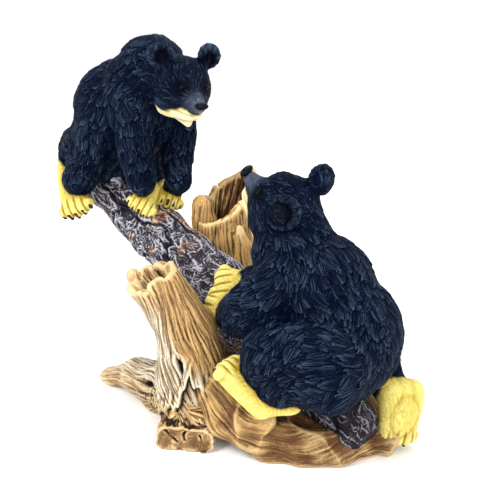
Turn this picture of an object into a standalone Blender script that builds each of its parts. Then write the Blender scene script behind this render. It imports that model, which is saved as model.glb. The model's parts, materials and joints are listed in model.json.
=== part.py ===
"""Two black bears on a seesaw log between broken stumps, cast in resin as one piece.

Metres, +Z up. +X runs along the log to its low end and +Y is the far side. The origin is on the flat
underside, straight below the middle of the base. Every form is a lump, a tapered, round-ended bar or an
ellipsoid, but for the two hollow trunks. The lumps of each figure are fused and softened, then all are
fused and carved.
"""

import math
from collections import namedtuple

import bmesh
import bpy
import numpy as np
from mathutils import Matrix, Vector, kdtree

# Log
LOG_LENGTH = 0.219
LOG_TILT = math.radians(25)
LOG_LOW_SHARE = 0.509
LOG_TOP_RADIUS = 0.0130
LOG_MIDDLE_RADIUS = 0.0170
LOG_LOW_RADIUS = 0.0115
STUB_LENGTH = 0.0110
STUB_RADIUS = 0.0042
PIVOT_X = -0.030
PIVOT_HEIGHT = 0.063

# Bears: each size is the height of its back above its seat, and all its joints are shares of it
UPPER_BEAR_SIZE = 0.084
UPPER_SEAT = 0.086
LOWER_BEAR_SIZE = 0.092
LOWER_SEAT = 0.102
HEAD_SHARE = 0.19

# Stumps
FRONT_STUMP_LENGTH = 0.098
FRONT_STUMP_RADIUS = 0.0160
FRONT_STUMP_LEAN = math.radians(52)
FRONT_STUMP_AHEAD = 0.0300
FRONT_STUMP_GAP = 0.0060
FRONT_STUMP_DROP = 0.0170
BACK_STUMP_LENGTH = 0.1145
BACK_STUMP_RADIUS = 0.0178
BACK_STUMP_BEHIND = 0.0145
BACK_STUMP_DROP = 0.0235
STUMP_OVERLAP = 0.004
STUMP_WALL = 0.0042
STUMP_TEETH = 0.0060
STUMP_HOLLOW = 0.0300
STUMP_CORNERS = 22
SPOKES, OUTER_ROWS, INNER_ROWS = 30, 14, 5

# Base
BASE_LEFT = 0.079
BASE_RIGHT = 0.084
BASE_FAR = 0.050
BASE_THICKNESS = 0.012
ROOT_RADIUS = 0.0150
ROOT_TIP_RADIUS = 0.0030
BANK_RADIUS = 0.0200
CUT_ROOT_REACH = 0.0190

# Carving
LOCK_LENGTH = 0.0150
LOCK_WIDTH = 0.0080
LOCK_HEIGHT = 0.0014
SHORT_LOCK_LENGTH = 0.0080
SHORT_LOCK_WIDTH = 0.0050
SHORT_LOCK_HEIGHT = 0.0006
BARK_LENGTH = 0.0240
BARK_WIDTH = 0.0034
BARK_HEIGHT = 0.0016
FLUTE_LENGTH = 0.0340
FLUTE_WIDTH = 0.0048
FLUTE_HEIGHT = 0.0018

# Fineness
SOFT_GRAIN = 0.0013
FINE_GRAIN = 0.0011
SOFT_ROUNDS, WOOD_ROUNDS, FINE_ROUNDS = 9, 14, 2
TRIANGLES = 9400
SEED = 11
NEAR = 0.008
BLEND = 0.003

FUR, HEAD, FACE, PAW, NOSE, BARK, WOOD = range(7)
COLOURS = {
    FUR: ("black_fur", (0.012, 0.014, 0.020), 0.55),
    HEAD: ("short_fur", (0.018, 0.020, 0.028), 0.50),
    FACE: ("grey_muzzle", (0.060, 0.066, 0.085), 0.50),
    PAW: ("cream_paws", (0.820, 0.690, 0.300), 0.55),
    NOSE: ("black_nose", (0.010, 0.010, 0.012), 0.20),
    BARK: ("dark_bark", (0.090, 0.075, 0.080), 0.65),
    WOOD: ("tan_wood", (0.500, 0.330, 0.160), 0.60),
}

Lump = namedtuple("Lump", "kind start end start_radius end_radius axes flow")
Frame = namedtuple("Frame", "origin forward left up size")


def at(frame, forward, left, up):
    """A point given in shares of the frame's size."""
    offset = frame.forward * forward + frame.left * left + frame.up * up
    return frame.origin + offset * frame.size


def turned(frame, origin, size, yaw, pitch, roll):
    """A frame turned to the left, tipped up, and rolled with its left side down."""
    turn = Matrix.Rotation(yaw, 3, frame.up)
    forward, left = turn @ frame.forward, turn @ frame.left
    tip = Matrix.Rotation(-pitch, 3, left)
    forward, up = tip @ forward, tip @ frame.up
    lean = Matrix.Rotation(-roll, 3, forward)
    return Frame(origin, forward, lean @ left, lean @ up, size)


def bar(kind, start, end, start_radius, end_radius, flow=None):
    """A tapered bar with round ends. Its carving runs from start to end unless a flow is given."""
    if flow is None:
        flow = (end - start).normalized()
    return Lump(kind, start, end, start_radius, end_radius, None, flow)


def chain(kind, *stations):
    """Bars from station to station, each a point and its radius."""
    pairs = zip(stations, stations[1:])
    return [bar(kind, a, b, a_radius, b_radius) for (a, a_radius), (b, b_radius) in pairs]


def egg(kind, centre, axes, flow):
    """An ellipsoid with its three half-axes as vectors."""
    return Lump(kind, centre, centre, 1.0, 1.0, axes, flow)


def egg_in(frame, kind, place, radii, flow=(-1, 0, 0)):
    """An ellipsoid lined up with a frame, all in shares of the frame's size."""
    axes = [direction * radius * frame.size for direction, radius in zip(frame[1:4], radii)]
    return egg(kind, at(frame, *place), axes, at(frame, *flow) - frame.origin)


# Log

LOG_DOWN = Vector((math.cos(LOG_TILT), 0, -math.sin(LOG_TILT)))
LOG_OUT = Vector((math.sin(LOG_TILT), 0, math.cos(LOG_TILT)))
FAR = Vector((0, 1, 0))
UP = Vector((0, 0, 1))
LOG_LOW_END = LOG_LENGTH * LOG_LOW_SHARE
LOG_TOP_END = LOG_LOW_END - LOG_LENGTH


def log_radius(along):
    """The log swells in the middle, where the stumps hold it."""
    if along < 0:
        return LOG_MIDDLE_RADIUS + (LOG_TOP_RADIUS - LOG_MIDDLE_RADIUS) * along / LOG_TOP_END
    return LOG_MIDDLE_RADIUS + (LOG_LOW_RADIUS - LOG_MIDDLE_RADIUS) * (along / LOG_LOW_END) ** 2


def on_log(along, around=0.0, lift=0.0):
    """A point on the log's skin: along from the pivot, around from its top to the far side, in degrees."""
    out = LOG_OUT * math.cos(math.radians(around)) + FAR * math.sin(math.radians(around))
    axis = Vector((PIVOT_X, 0, PIVOT_HEIGHT)) + LOG_DOWN * along
    return axis + out * (log_radius(along) + lift)


def log_lumps():
    """The log, with a broken stub beside the upper bear's leg."""
    count = 9
    places = [LOG_TOP_END + LOG_LENGTH * i / count for i in range(count + 1)]
    stations = [(on_log(place, 0, -log_radius(place)), log_radius(place)) for place in places]
    stub_root = on_log(LOG_TOP_END * 0.72, -38, -STUB_RADIUS)
    stub_way = Vector((0.2, -0.3, 1)).normalized()
    stub = bar(BARK, stub_root, stub_root + stub_way * STUB_LENGTH, STUB_RADIUS, STUB_RADIUS * 0.8)
    return chain(BARK, *stations) + [stub]


# Bears


def paw_lumps(heel, toes, top, width, thickness, spread=0.1):
    """A foot or hand from heel to toes, with its back toward top and five toes."""
    ahead = (toes - heel).normalized()
    side = ahead.cross(top).normalized()
    top = side.cross(ahead)
    toe_radius = width * 0.115
    half = width / 2 - toe_radius
    ball = toes - ahead * toe_radius * 2
    pad = thickness * 0.42
    soft = [
        bar(PAW, heel + side * half * spread, ball + side * half * 0.6, thickness / 2, pad, ahead),
        bar(PAW, heel - side * half * spread, ball - side * half * 0.6, thickness / 2, pad, ahead),
        bar(PAW, heel, ball, thickness / 2, pad, ahead),
        bar(PAW, ball - side * half * 0.6, ball + side * half * 0.6, pad, pad, ahead),
    ]
    crisp = []
    for i in range(5):
        share = i / 2 - 1
        root = ball + side * half * share * 0.95 + top * toe_radius * 0.5
        tip = toes + side * half * share - ahead * toe_radius * (1 + share * share)
        crisp.append(bar(PAW, root, tip, toe_radius * 1.12, toe_radius * 1.06, ahead))
    return soft, crisp


def ear_lumps(head, side, facing, stand, radius):
    """A round ear: a cup with a thick rim, which faces a way given in the head's shares."""
    centre = at(head, -0.16 * stand, 0.85 * side * stand, 0.91 * stand)
    facing = (head.forward * facing[0] + head.left * facing[1] * side + head.up * facing[2]).normalized()
    up = head.up * 0.92 + head.left * 0.38 * side
    up = (up - facing * up.dot(facing)).normalized()
    across = up.cross(facing).normalized()
    radius *= head.size
    rim = []
    steps = 12
    for i in range(steps):
        turns = [math.tau * (i + step) / steps for step in (0, 1)]
        outs = [across * math.cos(t) + up * math.sin(t) for t in turns]
        ends = [centre + out * radius for out in outs]
        thick = (0.125 + 0.012 * math.sin(5 * i)) * head.size
        rim.append(bar(HEAD, *ends, thick, thick, outs[0] + outs[1]))
    behind = centre - facing * 0.09 * head.size
    cup = egg(HEAD, behind, [facing * 0.15 * head.size, across * radius, up * radius], up)
    root = bar(HEAD, behind, at(head, -0.10, 0.55 * side, 0.55), radius * 0.8, radius, up)
    return [root], rim + [cup]


def head_lumps(head, ears):
    """Skull, brow, cheeks, muzzle and jaw as soft lumps; ears, nose, eyes and chin as crisp ones."""
    soft = [
        egg_in(head, HEAD, (0, 0, 0), (0.98, 0.98, 0.93)),
        egg_in(head, HEAD, (0.30, 0, 0.32), (0.62, 0.66, 0.50)),
    ]
    for side in (-1, 1):
        soft.append(egg_in(head, FUR, (0.06, 0.50 * side, -0.36), (0.60, 0.46, 0.46), (-1, 0.7 * side, -0.5)))
        soft.append(egg_in(head, HEAD, (0.50, 0.34 * side, 0.50), (0.28, 0.24, 0.16)))
        jaw = (at(head, 0.10, 0.47 * side, -0.66), at(head, 0.98, 0.13 * side, -0.50))
        soft.append(bar(PAW, *jaw, 0.37 * head.size, 0.23 * head.size))
    muzzle = (at(head, 0.62, 0, -0.06), at(head, 1.24, 0, -0.10))
    soft.append(bar(FACE, *muzzle, 0.44 * head.size, 0.24 * head.size))
    crisp = [egg_in(head, NOSE, (1.42, 0, 0.00), (0.12, 0.24, 0.12))]
    for side, facing, stand, radius in ears:
        root, ear = ear_lumps(head, side, facing, stand, radius)
        soft += root
        crisp += ear
    for side in (-1, 1):
        crisp.append(egg_in(head, NOSE, (0.735, 0.41 * side, 0.31), (0.09, 0.10, 0.10)))
        chin = at(head, 0.40, 0.18 * side, -0.67), at(head, 0.86, 0, -0.91)
        crisp.append(bar(PAW, *chin, 0.29 * head.size, 0.10 * head.size))
    return soft, crisp


def upper_bear():
    """The bear that sits on the high end and looks down the log, its forepaws on the bark."""
    seat = on_log(-UPPER_SEAT)
    body = Frame(seat, Vector((1, 0, 0)), FAR, UP, UPPER_BEAR_SIZE)
    size = body.size
    back = (-0.8, 0, -0.6)
    pose = map(math.radians, (-15, -22, 3))
    head = turned(body, at(body, 0.703, -0.03, 0.646), size * HEAD_SHARE, *pose)
    # Ears: side, facing, how far it stands out, and radius
    ears = (-1, (0.90, 0.30, 0.15), 1.0, 0.29), (1, (0.95, 0.00, 0.15), 0.96, 0.28)
    soft, crisp = head_lumps(head, ears)
    soft += [
        egg_in(body, FUR, (-0.07, 0, 0.21), (0.29, 0.31, 0.31), back),
        egg_in(body, FUR, (0.06, 0, 0.42), (0.34, 0.33, 0.35), back),
        egg_in(body, FUR, (0.28, 0, 0.52), (0.27, 0.29, 0.33), back),
        egg_in(body, FUR, (0.38, 0, 0.73), (0.24, 0.20, 0.21), back),
        bar(FUR, at(body, 0.68, -0.01, 0.64), at(body, 0.38, 0, 0.64), 0.17 * size, 0.21 * size),
    ]
    # Forelegs: side, reach, then how far down the log and around it the heel and the toes are
    forelegs = (
        (-1, 0.00, (0.345, -6), (0.415, -46)),
        (1, 0.03, (0.385, 34), (0.465, 10)),
    )
    for side, reach, heel_place, toes_place in forelegs:
        shoulder = at(body, 0.39 + reach, 0.15 * side, 0.50)
        elbow = at(body, 0.37 + reach, 0.15 * side + reach, 0.22)
        heel = on_log(size * heel_place[0] - UPPER_SEAT, heel_place[1], size * 0.05)
        toes = on_log(size * toes_place[0] - UPPER_SEAT, toes_place[1], size * 0.035)
        wrist = on_log(size * (heel_place[0] + reach) - UPPER_SEAT, 20 * side, size * 0.19)
        soft += chain(FUR, (shoulder, 0.155 * size), (elbow, 0.120 * size), (wrist, 0.095 * size))
        soft.append(bar(PAW, wrist.lerp(heel, 0.85), heel.lerp(toes, 0.4), 0.085 * size, 0.075 * size))
        top = LOG_OUT * 0.8 - FAR * 0.4 + LOG_DOWN * 0.4
        pads, digits = paw_lumps(heel, toes, top, size * 0.22, size * 0.125)
        soft += pads
        crisp += digits
    for side in (-1, 1):
        hip = at(body, -0.12, 0.18 * side, 0.17)
        knee = at(body, 0.08, 0.27 * side, 0.29)
        ankle = at(body, -0.03, 0.31 * side, 0.00)
        soft += chain(FUR, (hip, 0.21 * size), (knee, 0.13 * size), (ankle, 0.12 * size))
        heel = at(body, -0.19, 0.30 * side, 0.05)
        toes = at(body, -0.01, 0.36 * side, -0.25)
        pads, digits = paw_lumps(heel, toes, Vector((0.45, side, 0.1)), size * 0.29, size * 0.14)
        soft += pads
        crisp += digits
    return soft, crisp


def lower_bear():
    """The bear that hugs the low end from behind and looks up the log."""
    seat = on_log(LOWER_SEAT)
    body = Frame(seat, Vector((-1, 0, 0)), -FAR, UP, LOWER_BEAR_SIZE)
    size = body.size
    back = (-0.6, 0, -0.8)
    pose = map(math.radians, (24, 41, 32))
    head = turned(body, at(body, 0.420, 0.048, 0.912), size * HEAD_SHARE, *pose)
    ears = (-1, (0.55, 0.25, -0.80), 1.0, 0.28), (1, (0.15, 0.78, 0.60), 0.69, 0.36)
    soft, crisp = head_lumps(head, ears)
    soft += [
        egg_in(body, FUR, (0.05, 0.01, 0.30), (0.29, 0.33, 0.33), back),
        egg_in(body, FUR, (0.20, 0.01, 0.50), (0.29, 0.29, 0.31), back),
        egg_in(body, FUR, (0.35, 0.03, 0.67), (0.24, 0.22, 0.24), back),
        bar(FUR, at(body, 0.39, 0.03, 0.86), at(body, 0.32, 0.02, 0.66), 0.165 * size, 0.21 * size),
    ]
    # Arms: the near hand grips the log's side and the far hand its crest
    near_wrist = on_log(LOWER_SEAT - size * 0.68, -50, size * 0.08)
    near_toes = on_log(LOWER_SEAT - size * 0.89, -76, size * 0.035)
    shoulder, elbow = at(body, 0.28, 0.20, 0.58), at(body, 0.44, 0.28, 0.42)
    soft += chain(FUR, (shoulder, 0.17 * size), (elbow, 0.14 * size), (near_wrist, 0.12 * size))
    far_wrist = on_log(LOWER_SEAT - size * 0.78, -4, size * 0.08)
    far_toes = on_log(LOWER_SEAT - size * 0.93, -44, size * 0.035)
    shoulder, elbow = at(body, 0.31, -0.16, 0.60), at(body, 0.48, -0.13, 0.50)
    soft += chain(FUR, (shoulder, 0.15 * size), (elbow, 0.115 * size), (far_wrist, 0.10 * size))
    for wrist, toes, around in ((near_wrist, near_toes, -66), (far_wrist, far_toes, -26)):
        top = LOG_OUT * math.cos(math.radians(around)) + FAR * math.sin(math.radians(around))
        pads, digits = paw_lumps(wrist.lerp(toes, 0.35), toes, top, size * 0.25, size * 0.14)
        soft += pads
        crisp += digits
    # Legs: the near foot lies along a root, the far foot stands on its toes with its sole to the back
    near_heel = at(body, 0.20, 0.44, 0.03)
    near_foot_toes = at(body, 0.44, 0.47, 0.21)
    hip, knee, shin = at(body, 0.0, 0.25, 0.26), at(body, 0.18, 0.34, 0.26), at(body, 0.14, 0.35, 0.18)
    soft += chain(FUR, (hip, 0.25 * size), (knee, 0.19 * size), (shin, 0.15 * size))
    far_heel = at(body, -0.175, -0.22, 0.00)
    far_foot_toes = at(body, -0.170, -0.185, -0.31)
    hip, knee, shin = at(body, 0.03, -0.15, 0.24), at(body, 0.07, -0.25, 0.10), at(body, -0.07, -0.22, 0.01)
    soft += chain(FUR, (hip, 0.22 * size), (knee, 0.16 * size), (shin, 0.10 * size))
    soft.append(bar(PAW, near_heel, at(body, 0.07, 0.36, 0.04), size * 0.060, size * 0.040))
    sole_back = Vector((-0.85, 0.50, 0))
    feet = (
        (near_heel, near_foot_toes, UP, 0.24, 0.1),
        (far_heel, far_foot_toes, sole_back, 0.25, 0.6),
    )
    for heel, toes, top, width, spread in feet:
        pads, digits = paw_lumps(heel, toes, top, size * width, size * 0.13, spread)
        soft += pads
        crisp += digits
    down, out = (far_foot_toes - far_heel) * 0.40, -sole_back.normalized()
    across = down.cross(out).normalized()
    pad_place = far_heel.lerp(far_foot_toes, 0.36) + out * size * 0.045
    crisp.append(egg(PAW, pad_place, [down, out * size * 0.032, across * size * 0.078], down))
    return soft, crisp


# Wood


def trunk(centre, length, radius, lean, profile):
    """A trunk's stations: middle, tilt and radius. The profile gives the last two by shares of its length."""
    along, leans, sizes = zip(*profile)
    steps = 24
    middle = centre
    stations = []
    for i in range(steps + 1):
        tilt = lean * np.interp(i / steps, along, leans)
        stations.append((middle, tilt, radius * np.interp(i / steps, along, sizes)))
        middle = middle + Vector((math.sin(tilt), 0, math.cos(tilt))) * length / steps
    return stations


def trunk_bars(stations):
    """Bars along the trunk, which carry its kind and the way that its flutes run."""
    places = [(middle, radius) for middle, _, radius in stations[::4]]
    return chain(WOOD, *places)


def trunk_mesh(stations, low_side, drop, seed):
    """A broken hollow trunk: its outside up to a jagged rim, then its inside down to a floor."""
    random = np.random.default_rng(seed)
    length = sum((a[0] - b[0]).length for a, b in zip(stations, stations[1:]))
    turns = np.arange(SPOKES) * math.tau / SPOKES
    corners = np.sort(random.uniform(0, math.tau, STUMP_CORNERS))
    heights = random.uniform(0, STUMP_TEETH, STUMP_CORNERS)
    teeth = np.interp(turns, corners, heights, period=math.tau)
    rim = 1 - (drop * (0.5 + 0.5 * np.cos(turns - low_side)) + teeth) / length
    floor = rim.min() - STUMP_HOLLOW * 0.4 / length
    rows = [(rim * share, 0) for share in np.linspace(0, 1, OUTER_ROWS)]
    for share in np.linspace(0, 1, INNER_ROWS):
        rows.append((rim + (floor - rim) * share, STUMP_WALL * (1 + share)))
    shares = np.linspace(0, 1, len(stations))
    table = np.array([(*middle, tilt, radius) for middle, tilt, radius in stations])
    points = []
    for share, inset in rows:
        x, y, z, tilt, radius = (np.interp(share, shares, table[:, i]) for i in range(5))
        out = (radius - inset) * np.cos(turns)
        points += zip(x + out * np.cos(tilt), y + (radius - inset) * np.sin(turns), z - out * np.sin(tilt))
    faces = []
    for row in range(len(rows) - 1):
        for spoke in range(SPOKES):
            low, after = row * SPOKES + spoke, row * SPOKES + (spoke + 1) % SPOKES
            faces.append((low, after, after + SPOKES, low + SPOKES))
    faces += [tuple(range(SPOKES))[::-1], tuple(range(len(points) - SPOKES, len(points)))]
    mesh = bpy.data.meshes.new("trunk")
    mesh.from_pydata([tuple(map(float, place)) for place in points], [], faces)
    return mesh


def front_stump_centre():
    beside = LOG_MIDDLE_RADIUS + FRONT_STUMP_RADIUS + FRONT_STUMP_GAP
    return Vector((PIVOT_X + FRONT_STUMP_AHEAD, -beside, 0))


def back_stump_centre():
    beside = LOG_MIDDLE_RADIUS + BACK_STUMP_RADIUS - STUMP_OVERLAP
    return Vector((PIVOT_X - BACK_STUMP_BEHIND, beside, 0))


# Each trunk's lean and radius, by shares of its length
FRONT_PROFILE = (
    (0, 0, 0.90), (0.28, 0, 1.0), (0.38, 0, 1.0),
    (0.51, 0.5, 0.88), (0.65, 1, 0.77), (1, 1, 0.76),
)
BACK_PROFILE = ((0, 0, 1.30), (0.5, 0, 1.0), (1, 0, 1.02))


def trunks():
    """Both stumps' stations, the side on which each is torn low, and how much lower it is there."""
    size = FRONT_STUMP_LENGTH, FRONT_STUMP_RADIUS
    front = trunk(front_stump_centre(), *size, -FRONT_STUMP_LEAN, FRONT_PROFILE)
    back = trunk(back_stump_centre(), BACK_STUMP_LENGTH, BACK_STUMP_RADIUS, 0, BACK_PROFILE)
    return (front, math.radians(-40), FRONT_STUMP_DROP), (back, math.radians(-100), BACK_STUMP_DROP)


def splinter_lumps(front, back):
    """A knob on the front stump's rim, and a chunk and a splinter that stand out of the back stump."""
    (rim, _, wide), (top, _, broad) = front[-1], back[-1]
    knob = (-0.20, -0.08, -1.15), (-0.44, -0.08, -0.74), (0.30, 0.23)
    chunk = (-0.41, -0.57, -1.57), (-0.49, -0.62, -0.99), (0.34, 0.30)
    splinter = (0.85, -0.13, -2.72), (0.95, -0.47, -1.43), (0.47, 0.03)
    lumps = []
    for middle, size, (root, tip, radii) in ((rim, wide, knob), (top, broad, chunk), (top, broad, splinter)):
        ends = [middle + Vector(offset) * size for offset in (root, tip)]
        lumps.append(bar(WOOD, *ends, size * radii[0], size * radii[1]))
    return lumps


# A root that faces the viewer, cut off flat at its end
ROOT_WAY = Vector((0.555, -0.832, 0))
ROOT_SIDE = Vector((0.832, 0.555, 0))
ROOT_END = (front_stump_centre() + ROOT_WAY * CUT_ROOT_REACH, (ROOT_WAY + UP * 0.15).normalized())


def spot(x, y, height, radius):
    """A root's station over the ground, its height given in shares of the base's thickness."""
    return Vector((x, y, BASE_THICKNESS * height)), radius


def base_lumps():
    """Roots spread from the stumps, one of them cut off short, and a low bank carries the lower bear."""
    front, back = front_stump_centre(), back_stump_centre()
    thick, tip, bank = ROOT_RADIUS, ROOT_TIP_RADIUS, BANK_RADIUS
    left, right = tip - BASE_LEFT, BASE_RIGHT - bank * 0.8
    far = BASE_FAR - tip * 2
    collar = (front + UP * thick * 1.3, thick)
    back_collar = (back + UP * thick, thick * 1.2)
    left_bend = spot(left * 0.62, front.y + thick * 0.2, 1.1, thick * 0.60)
    inner_bend = spot(left * 0.46, front.y + thick * 0.3, 0.4, thick * 0.5)
    far_bend = spot(0, far, 0.4, thick * 0.5)
    roots = (
        (collar, left_bend, spot(left, front.y + thick * 0.1, 0.25, tip)),
        (collar, inner_bend, spot(left * 0.75, front.y + thick * 0.7, 0.25, thick / 3)),
        (back_collar, spot(left * 0.88, back.y, 0.25, thick * 0.27)),
        (back_collar, spot(back.x * 0.6, far, 0.25, tip * 2)),
        (back_collar, far_bend, spot(right * 0.6, far - tip * 2, 0.25, tip * 2)),
        (collar, back_collar),
    )
    flank = Vector((thick * 0.75, front.y, thick * 2.1))
    banks = (
        (spot(0, -bank * 0.6, 1.1, bank), spot(right / 2, -bank * 0.6, 0.7, bank * 0.85)),
        (spot(right / 2, -bank * 0.6, 0.7, bank * 0.85), spot(right * 0.78, -bank * 0.5, 0.5, bank * 0.6)),
        (spot(right * 0.78, -bank * 0.5, 0.5, bank * 0.6), spot(right, bank * 0.3, 0.4, bank * 0.55)),
        (
            (flank, thick * 0.50),
            spot(right * 0.36, front.y + thick * 0.1, 1.4, thick * 0.60),
            spot(right * 0.62, -bank * 1.45, 0.8, thick * 0.62),
            spot(right * 0.88, -bank * 0.85, 0.6, thick * 0.62),
            spot(right * 1.02, -bank * 0.2, 0.5, thick * 0.58),
            spot(right * 1.12, bank * 0.7, 0.5, thick * 0.58),
        ),
        (
            spot(right * 0.36, front.y + thick * 0.1, 1.4, thick * 0.55),
            spot(right * 0.60, -bank * 1.7, 1.7, thick * 0.45),
        ),
        (spot(-bank, bank / 2, 1, bank), spot(right * 0.6, bank, 0.6, bank * 0.9)),
        (spot(right * 0.6, bank, 0.6, bank * 0.9), spot(right, bank * 1.3, 0.3, bank * 0.6)),
    )
    cut_root = []
    run = ROOT_WAY * CUT_ROOT_REACH * 1.6 - UP * BASE_THICKNESS * 0.25
    for side in (-1, 0, 1):
        start = front + UP * BASE_THICKNESS * 0.55 + ROOT_SIDE * side * thick * 0.52
        cut_root.append(((start, thick * 0.52), (start + run, thick * 0.36)))
    parts = roots[:2] + tuple(cut_root), roots[2:], banks
    return [[lump for stations in part for lump in chain(WOOD, *stations)] for part in parts]


# Making meshes from lumps


def lump_mesh(work, lump):
    """Adds one closed lump to a bmesh: a sphere whose upper half is moved to the bar's end."""
    made = bmesh.ops.create_uvsphere(work, u_segments=16, v_segments=12, radius=1)["verts"]
    if lump.axes:
        place = Matrix([lump.axes[i] for i in range(3)]).transposed()
        for vertex in made:
            vertex.co = lump.start + place @ vertex.co
        if place.determinant() < 0:
            bmesh.ops.reverse_faces(work, faces=list({face for vertex in made for face in vertex.link_faces}))
        return
    length = (lump.end - lump.start).length
    turn = UP.rotation_difference(lump.end - lump.start)
    for vertex in made:
        high = vertex.co.z > -1e-4
        radius = lump.end_radius if high else lump.start_radius
        place = vertex.co * radius + UP * (length if high else 0)
        vertex.co = lump.start + turn @ place


def mesh_of(lumps):
    work = bmesh.new()
    for lump in lumps:
        lump_mesh(work, lump)
    mesh = bpy.data.meshes.new("lumps")
    work.to_mesh(mesh)
    work.free()
    return mesh


def joined(meshes):
    work = bmesh.new()
    for mesh in meshes:
        work.from_mesh(mesh)
    mesh = bpy.data.meshes.new("joined")
    work.to_mesh(mesh)
    work.free()
    return mesh


def cut_flat(mesh, place, out):
    """The mesh without what lies beyond a plane, closed again there."""
    work = bmesh.new()
    work.from_mesh(mesh)
    geometry = work.verts[:] + work.edges[:] + work.faces[:]
    bmesh.ops.bisect_plane(work, geom=geometry, plane_co=place, plane_no=out, clear_outer=True)
    bmesh.ops.holes_fill(work, edges=[edge for edge in work.edges if edge.is_boundary])
    bmesh.ops.triangulate(work, faces=work.faces[:])
    work.to_mesh(mesh)
    work.free()
    return mesh


def applied(mesh, *steps):
    """The mesh after modifiers, each given as its type and its settings."""
    thing = bpy.data.objects.new("work", mesh)
    bpy.context.collection.objects.link(thing)
    for kind, settings in steps:
        modifier = thing.modifiers.new(kind.lower(), kind)
        for name, value in settings.items():
            setattr(modifier, name, value)
    evaluated = thing.evaluated_get(bpy.context.evaluated_depsgraph_get())
    result = bpy.data.meshes.new_from_object(evaluated)
    bpy.data.objects.remove(thing)
    return result


def fused(mesh, grain, rounds):
    """One skin around all lumps, then softened so that they flow into each other."""
    remesh = ("REMESH", {"mode": "VOXEL", "voxel_size": grain})
    soften = ("SMOOTH", {"factor": 0.5, "iterations": rounds})
    return applied(mesh, remesh, soften)


def largest_shell(mesh):
    """The mesh without the small closed shells that fusing leaves inside it."""
    work = bmesh.new()
    work.from_mesh(mesh)
    left = set(work.verts)
    shells = []
    while left:
        shell = {left.pop()}
        edge = list(shell)
        while edge:
            near = {link.other_vert(vertex) for vertex in edge for link in vertex.link_edges} - shell
            shell |= near
            edge = list(near)
        left -= shell
        shells.append(shell)
    shells.sort(key=len)
    for shell in shells[:-1]:
        bmesh.ops.delete(work, geom=list(shell), context="VERTS")
    work.to_mesh(mesh)
    work.free()
    return mesh


# Carving


def arrays(mesh):
    points = np.empty(len(mesh.vertices) * 3)
    mesh.vertices.foreach_get("co", points)
    normals = np.empty(len(mesh.vertices) * 3)
    mesh.vertex_normals.foreach_get("vector", normals)
    return points.reshape(-1, 3), normals.reshape(-1, 3)


def lump_reach(lump):
    """The corners of a lump's box, in which it can be the nearest."""
    if lump.axes:
        size = max(axis.length for axis in lump.axes)
    else:
        size = max(lump.start_radius, lump.end_radius)
    low = np.minimum(lump.start, lump.end) - size - NEAR
    high = np.maximum(lump.start, lump.end) + size + NEAR
    return low, high


def lump_distance(lump, points):
    """How far each point is from a lump's skin."""
    if lump.axes:
        inverse = Matrix([lump.axes[i] for i in range(3)]).transposed().inverted()
        local = (points - np.array(lump.start)) @ np.array(inverse).T
        return (np.linalg.norm(local, axis=1) - 1) * min(axis.length for axis in lump.axes)
    start, run = np.array(lump.start), np.array(lump.end - lump.start)
    share = np.clip((points - start) @ run / (run @ run), 0, 1)
    radius = lump.start_radius + (lump.end_radius - lump.start_radius) * share
    return np.linalg.norm(points - start - share[:, None] * run, axis=1) - radius


def kinds_and_flow(points, normals, lumps):
    """The kind of the nearest lump at each point, and the way its carving runs along the skin."""
    nearest = np.full(len(points), np.inf)
    kinds = np.zeros(len(points), int)
    flow = np.zeros((len(points), 3))
    for lump in lumps:
        low, high = lump_reach(lump)
        found = np.flatnonzero(((points > low) & (points < high)).all(axis=1))
        distance = lump_distance(lump, points[found])
        weight = np.exp(-np.maximum(distance, 0) / BLEND)
        flow[found] += weight[:, None] * np.array(lump.flow.normalized())
        closer = distance < nearest[found]
        nearest[found[closer]] = distance[closer]
        kinds[found[closer]] = lump.kind
    flow -= (flow * normals).sum(axis=1)[:, None] * normals
    flow /= np.linalg.norm(flow, axis=1)[:, None] + 1e-9
    return kinds, flow


def spaced(points, candidates, distance, random):
    """One of the candidates, picked at random, in each cell of a grid of the given pitch."""
    order = random.permutation(candidates)
    cells = np.floor((points[order] + random.uniform(0, distance, 3)) / distance).astype(int)
    _, first = np.unique(cells, axis=0, return_index=True)
    return order[np.sort(first)]


def tree_of(points):
    tree = kdtree.KDTree(len(points))
    for index, point in enumerate(points.tolist()):
        tree.insert(point, index)
    tree.balance()
    return tree


def raised(points, normals, flow, tree, chosen, length, width, height, sway, random):
    """How high pointed, shingled locks rise over the skin, each steepest at its tip."""
    rise = np.zeros(len(points))
    for index in spaced(points, chosen, width, random):
        scale = random.uniform(0.75, 1.25)
        angle = random.normal(0, sway)
        side = np.cross(normals[index], flow[index])
        along = flow[index] * math.cos(angle) + side * math.sin(angle)
        side = np.cross(normals[index], along)
        reach = length * scale / 2
        found = np.array([hit[1] for hit in tree.find_range(points[index], reach)])
        offset = points[found] - points[index]
        run = np.clip(offset @ along / reach / 2 + 0.5, 0, 1)
        half = width / 2 * np.minimum(1, 3 * run + 0.2) * np.sqrt(1 - run**4)
        inside = np.clip(1 - (offset @ side / (half + 1e-6)) ** 2, 0, 1)
        lock = height * random.uniform(0.7, 1.2) * (0.25 + 0.75 * run) * np.sqrt(inside)
        rise[found] = np.maximum(rise[found], lock)
    return rise


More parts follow.
